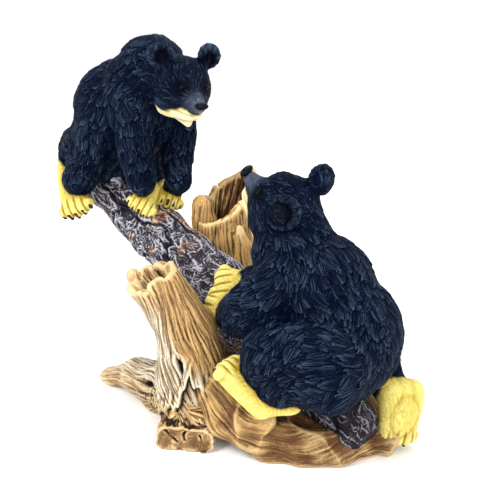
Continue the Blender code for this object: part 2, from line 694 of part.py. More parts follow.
def carved(mesh, lumps):
    """Locks in the fur, ridges in the bark and flutes in the wood."""
    random = np.random.default_rng(SEED)
    points, normals = arrays(mesh)
    kinds, flow = kinds_and_flow(points, normals, lumps)
    rise = np.zeros(len(points))
    tree = tree_of(points)
    styles = {
        FUR: (LOCK_LENGTH, LOCK_WIDTH, LOCK_HEIGHT, 0.30),
        HEAD: (SHORT_LOCK_LENGTH, SHORT_LOCK_WIDTH, SHORT_LOCK_HEIGHT, 0.20),
        BARK: (BARK_LENGTH, BARK_WIDTH, BARK_HEIGHT, 0.10),
        WOOD: (FLUTE_LENGTH, FLUTE_WIDTH, FLUTE_HEIGHT, 0.12),
    }
    for kind, (length, width, height, sway) in styles.items():
        chosen = np.flatnonzero(kinds == kind)
        lift = raised(points, normals, flow, tree, chosen, length, width, height, sway, random)
        rise[chosen] = lift[chosen] - height / 2
    mesh.vertices.foreach_set("co", (points + normals * rise[:, None]).ravel())
    mesh.update()
    return mesh


# The statue


def colour(kind):
    name, rgb, roughness = COLOURS[kind]
    material = bpy.data.materials.new(name)
    material.use_nodes = True
    shader = material.node_tree.nodes["Principled BSDF"]
    shader.inputs["Base Color"].default_value = (*rgb, 1)
    shader.inputs["Roughness"].default_value = roughness
    shader.inputs["Metallic"].default_value = 0
    material.diffuse_color = (*rgb, 1)
    return material


def paint(mesh, lumps):
    """Gives each face the material of the nearest lump."""
    for kind in COLOURS:
        mesh.materials.append(colour(kind))
    points, normals = arrays(mesh)
    kinds, _ = kinds_and_flow(points, normals, lumps)
    for face in mesh.polygons:
        face.material_index = int(kinds[face.vertices[0]])


def ground_cutter():
    """A block under the ground, which cuts the underside flat."""
    work = bmesh.new()
    bmesh.ops.create_cube(work, size=1)
    mesh = bpy.data.meshes.new("ground_cutter")
    work.to_mesh(mesh)
    work.free()
    cutter = bpy.data.objects.new("ground_cutter", mesh)
    cutter.location = (0, 0, -0.5)
    cutter.hide_render = True
    cutter.display_type = "WIRE"
    bpy.context.collection.objects.link(cutter)
    return cutter


def statue():
    """The whole casting, cut flat below."""
    front, back = trunks()
    front_roots, back_roots, banks = base_lumps()
    knob, chunk, splinter = splinter_lumps(front[0], back[0])
    log_end = on_log(LOG_LOW_END + LOG_LOW_RADIUS * 0.8), LOG_DOWN
    groups = (
        (*upper_bear(), SOFT_ROUNDS, None),
        (*lower_bear(), SOFT_ROUNDS, None),
        (log_lumps(), [], SOFT_ROUNDS, log_end),
        (front_roots, [knob], WOOD_ROUNDS, ROOT_END),
        (back_roots, [chunk, splinter], WOOD_ROUNDS, None),
        (banks, [], WOOD_ROUNDS, None),
    )
    shells = [trunk_mesh(*front, SEED), trunk_mesh(*back, SEED + 1)]
    every = trunk_bars(front[0]) + trunk_bars(back[0])
    for soft, crisp, rounds, cut in groups:
        shell = fused(mesh_of(soft), SOFT_GRAIN, rounds)
        shells.append(cut_flat(shell, *cut) if cut else shell)
        shells.append(mesh_of(crisp))
        every += soft + crisp
    mesh = largest_shell(fused(joined(shells), FINE_GRAIN, FINE_ROUNDS))
    mesh = carved(mesh, every)
    share = TRIANGLES / (2 * len(mesh.polygons))
    mesh = applied(mesh, ("TRIANGULATE", {}), ("DECIMATE", {"ratio": share}))
    paint(mesh, every)
    whole = bpy.data.objects.new("bears_on_seesaw", mesh)
    bpy.context.collection.objects.link(whole)
    cut = whole.modifiers.new("flat underside", "BOOLEAN")
    cut.operation = "DIFFERENCE"
    cut.object = ground_cutter()
    return whole


for thing in list(bpy.data.objects):
    bpy.data.objects.remove(thing)
statue()
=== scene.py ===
"""Two black bears on a seesaw log between broken stumps, in painted cast resin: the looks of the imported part.

Metres, +Z up, in the part's own frame: +X runs along the log to its low end and +Y is the far side. But for
the two hollow trunks, every form is a lump, a tapered round-ended bar or an ellipsoid. All stand where the
part's source has them. Each piece is fused, softened, carved by strokes, and painted by vertex attributes.
"""

import itertools
import json
import math
from collections import namedtuple

import bmesh
import bpy
import numpy as np
from mathutils import Matrix, Vector, kdtree, noise

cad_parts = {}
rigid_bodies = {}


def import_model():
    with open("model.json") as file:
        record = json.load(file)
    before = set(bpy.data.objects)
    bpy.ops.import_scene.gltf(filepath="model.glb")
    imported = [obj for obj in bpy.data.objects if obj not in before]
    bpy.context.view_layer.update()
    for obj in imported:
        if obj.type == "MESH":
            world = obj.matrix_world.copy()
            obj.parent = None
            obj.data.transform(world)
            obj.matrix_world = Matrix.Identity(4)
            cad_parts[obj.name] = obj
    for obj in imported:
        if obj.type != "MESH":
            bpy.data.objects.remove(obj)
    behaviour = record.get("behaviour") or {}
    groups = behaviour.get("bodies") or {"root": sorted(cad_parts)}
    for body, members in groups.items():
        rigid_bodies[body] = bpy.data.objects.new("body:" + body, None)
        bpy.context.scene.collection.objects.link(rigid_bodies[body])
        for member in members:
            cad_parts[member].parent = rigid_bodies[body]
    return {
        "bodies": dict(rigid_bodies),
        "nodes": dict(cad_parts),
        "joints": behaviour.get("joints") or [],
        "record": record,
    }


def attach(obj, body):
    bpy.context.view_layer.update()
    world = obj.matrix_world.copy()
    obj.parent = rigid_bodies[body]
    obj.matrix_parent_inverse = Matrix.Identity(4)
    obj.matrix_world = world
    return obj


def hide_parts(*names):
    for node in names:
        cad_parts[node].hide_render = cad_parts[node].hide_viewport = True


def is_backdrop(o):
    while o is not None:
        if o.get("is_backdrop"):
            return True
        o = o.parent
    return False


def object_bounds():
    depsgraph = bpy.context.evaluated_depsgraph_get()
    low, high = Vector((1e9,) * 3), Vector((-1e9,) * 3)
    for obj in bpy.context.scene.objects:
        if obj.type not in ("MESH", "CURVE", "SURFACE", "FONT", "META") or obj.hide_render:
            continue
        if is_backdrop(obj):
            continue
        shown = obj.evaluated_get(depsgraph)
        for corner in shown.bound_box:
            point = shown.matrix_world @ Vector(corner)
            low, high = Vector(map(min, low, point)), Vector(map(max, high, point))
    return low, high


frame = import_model()
CAD_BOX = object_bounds()

# Log
LOG_LENGTH = 0.219
LOG_TILT = math.radians(25)
LOG_LOW_SHARE = 0.509
LOG_TOP_RADIUS = 0.0130
LOG_MIDDLE_RADIUS = 0.0170
LOG_LOW_RADIUS = 0.0115
STUB_LENGTH = 0.0110
STUB_RADIUS = 0.0042
PIVOT_X = -0.030
PIVOT_HEIGHT = 0.063

# Bears: each size is the height of its back above its seat, and all its joints are shares of it
UPPER_BEAR_SIZE = 0.084
UPPER_SEAT = 0.086
LOWER_BEAR_SIZE = 0.092
LOWER_SEAT = 0.102
HEAD_SHARE = 0.19

# Stumps
FRONT_STUMP_LENGTH = 0.098
FRONT_STUMP_RADIUS = 0.0160
FRONT_STUMP_LEAN = math.radians(52)
FRONT_STUMP_AHEAD = 0.0300
FRONT_STUMP_GAP = 0.0060
FRONT_STUMP_DROP = 0.0170
BACK_STUMP_LENGTH = 0.1145
BACK_STUMP_RADIUS = 0.0178
BACK_STUMP_BEHIND = 0.0145
BACK_STUMP_DROP = 0.0235
STUMP_OVERLAP = 0.004
STUMP_WALL = 0.0042
STUMP_TEETH = 0.0060
STUMP_HOLLOW = 0.0300
STUMP_CORNERS = 22
SPOKES, OUTER_ROWS, INNER_ROWS = 96, 40, 16

# Base
BASE_LEFT = 0.079
BASE_RIGHT = 0.084
BASE_FAR = 0.050
BASE_THICKNESS = 0.012
ROOT_RADIUS = 0.0150
ROOT_TIP_RADIUS = 0.0030
BANK_RADIUS = 0.0200
CUT_ROOT_REACH = 0.0190

# Fineness
SOFT_GRAIN = 0.0013
SOFT_ROUNDS = 9
WOOD_ROUNDS = 14
FINE_GRAIN = 0.00045
FINE_ROUNDS = 3
NEAR = 0.010
KIND_BLEND = 0.0007
PAINT_BLEND = 0.0010
BEAR_TRIANGLES, LOG_TRIANGLES = 195000, 175000
FRONT_TRIANGLES, BACK_TRIANGLES, BANK_TRIANGLES = 165000, 120000, 110000

# Camera: the photograph's view
AZIMUTH, ELEVATION = math.radians(44), math.radians(18)
CAMERA_TARGET = 0.0025, 0, 0.0876
CAMERA_DISTANCE = 0.385
LENS, SENSOR_WIDTH = 55.08, 36

# Kinds of surface
KINDS = 13
FUR, HEAD, EAR, FACE, JAW, PAW, NOSE, BARK, WOOD, EYE, CLAW, GROOVE, SHADE = range(KINDS)

Lump = namedtuple("Lump", "kind start end start_radius end_radius axes flow")
Frame = namedtuple("Frame", "origin forward left up size")
Style = namedtuple("Style", "shape length width height pitch sway strands pieces ragged groove")


def at(frame, forward, left, up):
    """A point given in shares of the frame's size."""
    offset = frame.forward * forward + frame.left * left + frame.up * up
    return frame.origin + offset * frame.size


def turned(frame, origin, size, yaw, pitch, roll):
    """A frame turned to the left, tipped up, and rolled with its left side down."""
    turn = Matrix.Rotation(yaw, 3, frame.up)
    forward, left = turn @ frame.forward, turn @ frame.left
    tip = Matrix.Rotation(-pitch, 3, left)
    forward, up = tip @ forward, tip @ frame.up
    lean = Matrix.Rotation(-roll, 3, forward)
    return Frame(origin, forward, lean @ left, lean @ up, size)


def bar(kind, start, end, start_radius, end_radius, flow=None):
    """A tapered bar with round ends. Its carving runs from start to end unless a flow is given."""
    if flow is None:
        flow = (end - start).normalized()
    return Lump(kind, start, end, start_radius, end_radius, None, flow)


def chain(kind, *stations):
    """Bars from station to station, each a point and its radius."""
    pairs = zip(stations, stations[1:])
    return [bar(kind, a, b, a_radius, b_radius) for (a, a_radius), (b, b_radius) in pairs]


def egg(kind, centre, axes, flow):
    """An ellipsoid with its three half-axes as vectors."""
    return Lump(kind, centre, centre, 1.0, 1.0, axes, flow)


def egg_in(frame, kind, place, radii, flow=(-1, 0, 0)):
    """An ellipsoid lined up with a frame, all in shares of the frame's size."""
    axes = [direction * radius * frame.size for direction, radius in zip(frame[1:4], radii)]
    return egg(kind, at(frame, *place), axes, at(frame, *flow) - frame.origin)


# Log

LOG_DOWN = Vector((math.cos(LOG_TILT), 0, -math.sin(LOG_TILT)))
LOG_OUT = Vector((math.sin(LOG_TILT), 0, math.cos(LOG_TILT)))
FAR = Vector((0, 1, 0))
UP = Vector((0, 0, 1))
LOG_LOW_END = LOG_LENGTH * LOG_LOW_SHARE
LOG_TOP_END = LOG_LOW_END - LOG_LENGTH


def log_radius(along):
    """The log swells in the middle, where the stumps hold it."""
    if along < 0:
        return LOG_MIDDLE_RADIUS + (LOG_TOP_RADIUS - LOG_MIDDLE_RADIUS) * along / LOG_TOP_END
    return LOG_MIDDLE_RADIUS + (LOG_LOW_RADIUS - LOG_MIDDLE_RADIUS) * (along / LOG_LOW_END) ** 2


def on_log(along, around=0.0, lift=0.0):
    """A point on the log's skin: along from the pivot, around from its top to the far side, in degrees."""
    out = LOG_OUT * math.cos(math.radians(around)) + FAR * math.sin(math.radians(around))
    axis = Vector((PIVOT_X, 0, PIVOT_HEIGHT)) + LOG_DOWN * along
    return axis + out * (log_radius(along) + lift)


def log_lumps():
    """The log, with a broken stub beside the upper bear's leg."""
    count = 9
    places = [LOG_TOP_END + LOG_LENGTH * i / count for i in range(count + 1)]
    stations = [(on_log(place, 0, -log_radius(place)), log_radius(place)) for place in places]
    stub_root = on_log(LOG_TOP_END * 0.72, -38, -STUB_RADIUS)
    stub_way = Vector((0.2, -0.3, 1)).normalized()
    stub = bar(BARK, stub_root, stub_root + stub_way * STUB_LENGTH, STUB_RADIUS, STUB_RADIUS * 0.8)
    return chain(BARK, *stations) + [stub]


# Bears


def paw_lumps(heel, toes, top, width, thickness, spread=0.1):
    """A foot or hand from heel to toes, with its back toward top and five toes."""
    ahead = (toes - heel).normalized()
    side = ahead.cross(top).normalized()
    top = side.cross(ahead)
    toe_radius = width * 0.115
    half = width / 2 - toe_radius
    ball = toes - ahead * toe_radius * 2
    pad = thickness * 0.42
    soft = [
        bar(PAW, heel + side * half * spread, ball + side * half * 0.6, thickness / 2, pad, ahead),
        bar(PAW, heel - side * half * spread, ball - side * half * 0.6, thickness / 2, pad, ahead),
        bar(PAW, heel, ball, thickness / 2, pad, ahead),
        bar(PAW, ball - side * half * 0.6, ball + side * half * 0.6, pad, pad, ahead),
    ]
    crisp = []
    for i in range(5):
        share = i / 2 - 1
        root = ball + side * half * share * 0.95 + top * toe_radius * 0.5
        tip = toes + side * half * share - ahead * toe_radius * (1 + share * share)
        crisp.append(bar(PAW, root, tip, toe_radius * 1.12, toe_radius * 1.06, ahead))
        claw_root = tip + (ahead * 0.50 + top * 0.65) * toe_radius
        claw_tip = tip + (ahead * 1.15 - top * 0.15) * toe_radius
        crisp.append(bar(CLAW, claw_root, claw_tip, toe_radius * 0.54, toe_radius * 0.36))
        if i < 4:
            gap = side * half * (share + 0.25)
            ends = ball + gap - ahead * width * 0.3, toes + gap
            crisp.append(Lump(GROOVE, *ends, width * 0.030, width, None, top))
    return soft, crisp


def add_paw(bear, *paw):
    """Adds a paw to a bear's soft and crisp lumps."""
    for lumps, more in zip(bear, paw_lumps(*paw)):
        lumps += more


def limb(frame, *stations):
    """A furry limb through stations in shares of the frame's size: forward, left, up and radius."""
    return chain(FUR, *[(at(frame, *place), radius * frame.size) for *place, radius in stations])


def ear_lumps(head, side, facing, stand, radius):
    """A round ear: a cup with a thick rim, which faces a way given in the head's shares."""
    centre = at(head, -0.16 * stand, 0.85 * side * stand, 0.91 * stand)
    facing = (head.forward * facing[0] + head.left * facing[1] * side + head.up * facing[2]).normalized()
    up = head.up * 0.92 + head.left * 0.38 * side
    up = (up - facing * up.dot(facing)).normalized()
    across = up.cross(facing).normalized()
    radius *= head.size
    rim = []
    steps = 12
    for i in range(steps):
        turns = [math.tau * (i + step) / steps for step in (0, 1)]
        outs = [across * math.cos(t) + up * math.sin(t) for t in turns]
        ends = [centre + out * radius for out in outs]
        thick = (0.125 + 0.012 * math.sin(5 * i)) * head.size
        rim.append(bar(EAR, *ends, thick, thick, outs[0] + outs[1]))
    behind = centre - facing * 0.09 * head.size
    cup = egg(EAR, behind, [facing * 0.15 * head.size, across * radius, up * radius], up)
    root = bar(HEAD, behind, at(head, -0.10, 0.55 * side, 0.55), radius * 0.8, radius, up)
    # Painted shade darkens the ear's hollow
    hollow = Lump(SHADE, centre, centre, radius * 1.05, 0, None, facing)
    return [root], rim + [cup, hollow]


def head_lumps(head, ears):
    """Skull, brow, cheeks, muzzle and jaw as soft lumps; ears, nose, eyes and chin as crisp ones."""
    soft = [
        egg_in(head, HEAD, (0, 0, 0), (0.98, 0.98, 0.93)),
        egg_in(head, HEAD, (0.30, 0, 0.32), (0.62, 0.66, 0.50)),
    ]
    for side in (-1, 1):
        cheek = (0.06, 0.50 * side, -0.36), (0.60, 0.46, 0.46), (-1, 0.7 * side, -0.5)
        soft.append(egg_in(head, FUR, *cheek))
        soft.append(egg_in(head, HEAD, (0.50, 0.34 * side, 0.50), (0.28, 0.24, 0.16)))
        jaw = (at(head, 0.10, 0.47 * side, -0.66), at(head, 0.98, 0.13 * side, -0.50))
        soft.append(bar(JAW, *jaw, 0.37 * head.size, 0.23 * head.size))
    muzzle = (at(head, 0.62, 0, -0.06), at(head, 1.24, 0, -0.10))
    soft.append(bar(FACE, *muzzle, 0.44 * head.size, 0.24 * head.size))
    crisp = [egg_in(head, NOSE, (1.42, 0, 0.00), (0.12, 0.24, 0.12))]
    for side, facing, stand, radius in ears:
        root, ear = ear_lumps(head, side, facing, stand, radius)
        soft += root
        crisp += ear
    for side in (-1, 1):
        crisp.append(egg_in(head, EYE, (0.735, 0.41 * side, 0.31), (0.09, 0.10, 0.10)))
        chin = at(head, 0.40, 0.18 * side, -0.67), at(head, 0.86, 0, -0.91)
        crisp.append(bar(JAW, *chin, 0.29 * head.size, 0.10 * head.size))
        # Painted shade round each eye, in its socket
        eye = at(head, 0.72, 0.41 * side, 0.31)
        crisp.append(Lump(SHADE, eye, eye, 0.30 * head.size, 0, None, head.forward))
    # The mouth groove, which also gets painted shade
    mouth = at(head, 0.40, 0, -0.50), at(head, 1.05, 0, -0.46)
    crisp.append(Lump(GROOVE, *mouth, 0.035 * head.size, 1.6 * head.size, None, head.left))
    return soft, crisp


def upper_bear():
    """The bear that sits on the high end and looks down the log, its forepaws on the bark."""
    body = Frame(on_log(-UPPER_SEAT), Vector((1, 0, 0)), FAR, UP, UPPER_BEAR_SIZE)
    size = body.size
    pose = map(math.radians, (-15, -22, 3))
    head = turned(body, at(body, 0.703, -0.03, 0.646), size * HEAD_SHARE, *pose)
    # Ears: side, facing, how far it stands out, and radius
    ears = (-1, (0.90, 0.30, 0.15), 1.0, 0.29), (1, (0.95, 0.00, 0.15), 0.96, 0.28)
    soft, crisp = bear = head_lumps(head, ears)
    masses = (
        ((-0.07, 0, 0.21), (0.29, 0.31, 0.31)),
        ((0.06, 0, 0.42), (0.34, 0.33, 0.35)),
        ((0.28, 0, 0.52), (0.27, 0.29, 0.33)),
        ((0.38, 0, 0.73), (0.24, 0.20, 0.21)),
    )
    soft += [egg_in(body, FUR, *mass, (-0.8, 0, -0.6)) for mass in masses]
    soft += limb(body, (0.68, -0.01, 0.64, 0.17), (0.38, 0, 0.64, 0.21))
    # Forelegs: side, reach, then how far down the log and around it the heel and the toes are
    forelegs = (
        (-1, 0.00, (0.345, -6), (0.415, -46)),
        (1, 0.03, (0.385, 34), (0.465, 10)),
    )
    top = LOG_OUT * 0.8 - FAR * 0.4 + LOG_DOWN * 0.4
    for side, reach, (heel_down, heel_round), (toes_down, toes_round) in forelegs:
        shoulder = at(body, 0.39 + reach, 0.15 * side, 0.50)
        elbow = at(body, 0.37 + reach, 0.15 * side + reach, 0.22)
        heel = on_log(size * heel_down - UPPER_SEAT, heel_round, size * 0.05)
        toes = on_log(size * toes_down - UPPER_SEAT, toes_round, size * 0.035)
        wrist = on_log(size * (heel_down + reach) - UPPER_SEAT, 20 * side, size * 0.19)
        soft += chain(FUR, (shoulder, 0.155 * size), (elbow, 0.120 * size), (wrist, 0.095 * size))
        soft.append(bar(PAW, wrist.lerp(heel, 0.85), heel.lerp(toes, 0.4), 0.085 * size, 0.075 * size))
        add_paw(bear, heel, toes, top, size * 0.22, size * 0.125)
    for side in (-1, 1):
        hip, knee = (-0.12, 0.18 * side, 0.17, 0.21), (0.08, 0.27 * side, 0.29, 0.13)
        soft += limb(body, hip, knee, (-0.03, 0.31 * side, 0.00, 0.12))
        foot = at(body, -0.19, 0.30 * side, 0.05), at(body, -0.01, 0.36 * side, -0.25)
        add_paw(bear, *foot, Vector((0.45, side, 0.1)), size * 0.29, size * 0.14)
    return bear


def lower_bear():
    """The bear that hugs the low end from behind and looks up the log."""
    body = Frame(on_log(LOWER_SEAT), Vector((-1, 0, 0)), -FAR, UP, LOWER_BEAR_SIZE)
    size = body.size
    pose = map(math.radians, (24, 41, 32))
    head = turned(body, at(body, 0.420, 0.048, 0.912), size * HEAD_SHARE, *pose)
    ears = (-1, (0.55, 0.25, -0.80), 1.0, 0.28), (1, (0.15, 0.78, 0.60), 0.69, 0.36)
    soft, crisp = bear = head_lumps(head, ears)
    masses = (
        ((0.05, 0.01, 0.30), (0.29, 0.33, 0.33)),
        ((0.20, 0.01, 0.50), (0.29, 0.29, 0.31)),
        ((0.35, 0.03, 0.67), (0.24, 0.22, 0.24)),
    )
    soft += [egg_in(body, FUR, *mass, (-0.6, 0, -0.8)) for mass in masses]
    soft += limb(body, (0.39, 0.03, 0.86, 0.165), (0.32, 0.02, 0.66, 0.21))
    # Arms: the near hand grips the log's side and the far hand its crest. Each has a shoulder, an elbow and a
    # wrist's radius, then how far up the log and around it the wrist and the toes are, and its back
    arms = (
        ((0.28, 0.20, 0.58, 0.17), (0.44, 0.28, 0.42, 0.14), 0.12, (0.68, -50), (0.89, -76), -66),
        ((0.31, -0.16, 0.60, 0.15), (0.48, -0.13, 0.50, 0.115), 0.10, (0.78, -4), (0.93, -44), -26),
    )
    hands = []
    for shoulder, elbow, wrist_radius, (wrist_up, wrist_round), (toes_up, toes_round), around in arms:
        wrist = on_log(LOWER_SEAT - size * wrist_up, wrist_round, size * 0.08)
        toes = on_log(LOWER_SEAT - size * toes_up, toes_round, size * 0.035)
        joints = [(at(body, *place), radius * size) for *place, radius in (shoulder, elbow)]
        soft += chain(FUR, *joints, (wrist, wrist_radius * size))
        top = LOG_OUT * math.cos(math.radians(around)) + FAR * math.sin(math.radians(around))
        hands.append((wrist.lerp(toes, 0.35), toes, top, size * 0.25, size * 0.14))
    for hand in hands:
        add_paw(bear, *hand)
    # Legs: the near foot lies along a root, the far foot stands on its toes with its sole to the back
    near_heel, near_toes = at(body, 0.20, 0.44, 0.03), at(body, 0.44, 0.47, 0.21)
    far_heel, far_toes = at(body, -0.175, -0.22, 0.00), at(body, -0.170, -0.185, -0.31)
    soft += limb(body, (0.0, 0.25, 0.26, 0.25), (0.18, 0.34, 0.26, 0.19), (0.14, 0.35, 0.18, 0.15))
    soft += limb(body, (0.03, -0.15, 0.24, 0.22), (0.07, -0.25, 0.10, 0.16), (-0.07, -0.22, 0.01, 0.10))
    soft.append(bar(PAW, near_heel, at(body, 0.07, 0.36, 0.04), size * 0.060, size * 0.040))
    sole_back = Vector((-0.85, 0.50, 0))
    add_paw(bear, near_heel, near_toes, UP, size * 0.24, size * 0.13, 0.1)
    add_paw(bear, far_heel, far_toes, sole_back, size * 0.25, size * 0.13, 0.6)
    down, out = (far_toes - far_heel) * 0.40, -sole_back.normalized()
    across = down.cross(out).normalized()
    sole = far_heel.lerp(far_toes, 0.36) + out * size * 0.045
    crisp.append(egg(PAW, sole, [down, out * size * 0.032, across * size * 0.078], down))
    return bear


# Wood


def trunk(centre, length, radius, lean, profile):
    """A trunk's stations: middle, tilt and radius. The profile gives the last two by shares of its length."""
    along, leans, sizes = zip(*profile)
    steps = 24
    middle = centre
    stations = []
    for i in range(steps + 1):
        tilt = lean * np.interp(i / steps, along, leans)
        stations.append((middle, tilt, radius * np.interp(i / steps, along, sizes)))
        middle = middle + Vector((math.sin(tilt), 0, math.cos(tilt))) * length / steps
    return stations


def trunk_bars(stations):
    """Bars along the trunk, which carry its kind and the way that its flutes run."""
    places = [(middle, radius) for middle, _, radius in stations[::4]]
    return chain(WOOD, *places)


def trunk_mesh(stations, low_side, drop, seed):
    """A broken hollow trunk: its outside up to a jagged rim, then its inside down to a floor."""
    random = np.random.default_rng(seed)
    length = sum((a[0] - b[0]).length for a, b in zip(stations, stations[1:]))
    turns = np.arange(SPOKES) * math.tau / SPOKES
    corners = np.sort(random.uniform(0, math.tau, STUMP_CORNERS))
    heights = random.uniform(0, STUMP_TEETH, STUMP_CORNERS)
    teeth = np.interp(turns, corners, heights, period=math.tau)
    rim = 1 - (drop * (0.5 + 0.5 * np.cos(turns - low_side)) + teeth) / length
    floor = rim.min() - STUMP_HOLLOW * 0.4 / length
    rows = [(rim * share, 0) for share in np.linspace(0, 1, OUTER_ROWS)]
    for share in np.linspace(0, 1, INNER_ROWS):
        rows.append((rim + (floor - rim) * share, STUMP_WALL * (1 + share)))
    shares = np.linspace(0, 1, len(stations))
    table = np.array([(*middle, tilt, radius) for middle, tilt, radius in stations])
    points = []
    for share, inset in rows:
        x, y, z, tilt, radius = (np.interp(share, shares, table[:, i]) for i in range(5))
        out = (radius - inset) * np.cos(turns)
        points += zip(x + out * np.cos(tilt), y + (radius - inset) * np.sin(turns), z - out * np.sin(tilt))
    faces = []
    for row in range(len(rows) - 1):
        for spoke in range(SPOKES):
            low, after = row * SPOKES + spoke, row * SPOKES + (spoke + 1) % SPOKES
            faces.append((low, after, after + SPOKES, low + SPOKES))
    faces += [tuple(range(SPOKES))[::-1], tuple(range(len(points) - SPOKES, len(points)))]
    mesh = bpy.data.meshes.new("trunk")
    mesh.from_pydata([tuple(map(float, place)) for place in points], [], faces)
    return mesh


def beside_log(ahead, side, radius, gap):
    """Where a stump stands: ahead of the pivot, on one side of the log, with a gap or an overlap."""
    return Vector((PIVOT_X + ahead, side * (LOG_MIDDLE_RADIUS + radius + gap), 0))


FRONT_CENTRE = beside_log(FRONT_STUMP_AHEAD, -1, FRONT_STUMP_RADIUS, FRONT_STUMP_GAP)
BACK_CENTRE = beside_log(-BACK_STUMP_BEHIND, 1, BACK_STUMP_RADIUS, -STUMP_OVERLAP)

# Each trunk's lean and radius, by shares of its length
FRONT_PROFILE = (
    (0, 0, 0.90), (0.28, 0, 1.0), (0.38, 0, 1.0),
    (0.51, 0.5, 0.88), (0.65, 1, 0.77), (1, 1, 0.76),
)
BACK_PROFILE = ((0, 0, 1.30), (0.5, 0, 1.0), (1, 0, 1.02))


def trunks():
    """Both stumps' stations, the side on which each is torn low, and how much lower it is there."""
    size = FRONT_STUMP_LENGTH, FRONT_STUMP_RADIUS
    front = trunk(FRONT_CENTRE, *size, -FRONT_STUMP_LEAN, FRONT_PROFILE)
    back = trunk(BACK_CENTRE, BACK_STUMP_LENGTH, BACK_STUMP_RADIUS, 0, BACK_PROFILE)
    return (front, math.radians(-40), FRONT_STUMP_DROP), (back, math.radians(-100), BACK_STUMP_DROP)


def splinter_lumps(front, back):
    """A knob on the front stump's rim, and a chunk and a splinter that stand out of the back stump."""
    (rim, _, wide), (top, _, broad) = front[-1], back[-1]
    knob = (-0.20, -0.08, -1.15), (-0.44, -0.08, -0.74), (0.30, 0.23)
    chunk = (-0.41, -0.57, -1.57), (-0.49, -0.62, -0.99), (0.34, 0.30)
    splinter = (0.85, -0.13, -2.72), (0.95, -0.47, -1.43), (0.47, 0.03)
    lumps = []
    for middle, size, (root, tip, radii) in ((rim, wide, knob), (top, broad, chunk), (top, broad, splinter)):
        ends = [middle + Vector(offset) * size for offset in (root, tip)]
        lumps.append(bar(WOOD, *ends, size * radii[0], size * radii[1]))
    return lumps


# A root that faces the viewer, cut off flat at its end
ROOT_WAY = Vector((0.555, -0.832, 0))
ROOT_SIDE = Vector((0.832, 0.555, 0))
ROOT_END = (FRONT_CENTRE + ROOT_WAY * CUT_ROOT_REACH, (ROOT_WAY + UP * 0.15).normalized())


def spot(x, y, height, radius):
    """A root's station over the ground, its height given in shares of the base's thickness."""
    return Vector((x, y, BASE_THICKNESS * height)), radius


def base_lumps():
    """Roots spread from the stumps, one of them cut off short, and a low bank carries the lower bear."""
    front, back = FRONT_CENTRE, BACK_CENTRE
    thick, tip, bank = ROOT_RADIUS, ROOT_TIP_RADIUS, BANK_RADIUS
    left, right = tip - BASE_LEFT, BASE_RIGHT - bank * 0.8
    far = BASE_FAR - tip * 2
    collar = (front + UP * thick * 1.3, thick)
    back_collar = (back + UP * thick, thick * 1.2)
    left_bend = spot(left * 0.62, front.y + thick * 0.2, 1.1, thick * 0.60)
    inner_bend = spot(left * 0.46, front.y + thick * 0.3, 0.4, thick * 0.5)
    far_bend = spot(0, far, 0.4, thick * 0.5)
    roots = (
        (collar, left_bend, spot(left, front.y + thick * 0.1, 0.25, tip)),
        (collar, inner_bend, spot(left * 0.75, front.y + thick * 0.7, 0.25, thick / 3)),
        (back_collar, spot(left * 0.88, back.y, 0.25, thick * 0.27)),
        (back_collar, spot(back.x * 0.6, far, 0.25, tip * 2)),
        (back_collar, far_bend, spot(right * 0.6, far - tip * 2, 0.25, tip * 2)),
        (collar, back_collar),
    )
    flank = Vector((thick * 0.75, front.y, thick * 2.1))
    banks = (
        (spot(0, -bank * 0.6, 1.1, bank), spot(right / 2, -bank * 0.6, 0.7, bank * 0.85)),
        (spot(right / 2, -bank * 0.6, 0.7, bank * 0.85), spot(right * 0.78, -bank * 0.5, 0.5, bank * 0.6)),
        (spot(right * 0.78, -bank * 0.5, 0.5, bank * 0.6), spot(right, bank * 0.3, 0.4, bank * 0.55)),
        (
            (flank, thick * 0.50),
            spot(right * 0.36, front.y + thick * 0.1, 1.4, thick * 0.60),
            spot(right * 0.62, -bank * 1.45, 0.8, thick * 0.62),
            spot(right * 0.88, -bank * 0.85, 0.6, thick * 0.62),
            spot(right * 1.02, -bank * 0.2, 0.5, thick * 0.58),
            spot(right * 1.12, bank * 0.7, 0.5, thick * 0.58),
        ),
        (
            spot(right * 0.36, front.y + thick * 0.1, 1.4, thick * 0.55),
            spot(right * 0.60, -bank * 1.7, 1.7, thick * 0.45),
        ),
        (spot(-bank, bank / 2, 1, bank), spot(right * 0.6, bank, 0.6, bank * 0.9)),
        (spot(right * 0.6, bank, 0.6, bank * 0.9), spot(right, bank * 1.3, 0.3, bank * 0.6)),
    )
    cut_root = []
    run = ROOT_WAY * CUT_ROOT_REACH * 1.6 - UP * BASE_THICKNESS * 0.25
    for side in (-1, 0, 1):
        start = front + UP * BASE_THICKNESS * 0.55 + ROOT_SIDE * side * thick * 0.52
        cut_root.append(((start, thick * 0.52), (start + run, thick * 0.36)))
    parts = roots[:2] + tuple(cut_root), roots[2:], banks
    return [[lump for stations in part for lump in chain(WOOD, *stations)] for part in parts]


# Making meshes from lumps


def ball(around, rings):
    """A unit sphere: its points, and its triangles as rows of point numbers."""
    points = [(0, 0, 1)]
    faces = []
    for ring in range(1, rings):
        tip = math.pi * ring / rings
        for spoke in range(around):
            turn = math.tau * spoke / around
            points.append((math.sin(tip) * math.cos(turn), math.sin(tip) * math.sin(turn), math.cos(tip)))
    points.append((0, 0, -1))
    last = len(points) - 1
    for spoke in range(around):
        after = (spoke + 1) % around
        faces.append((0, 1 + spoke, 1 + after))
        faces.append((last, last - around + after, last - around + spoke))
        for ring in range(rings - 2):
            high, low = 1 + ring * around, 1 + (ring + 1) * around
            faces.append((high + spoke, low + spoke, low + after))
            faces.append((high + spoke, low + after, high + after))
    return np.array(points), np.array(faces)


COARSE_BALL = ball(16, 12)
FINE_BALL = ball(32, 24)


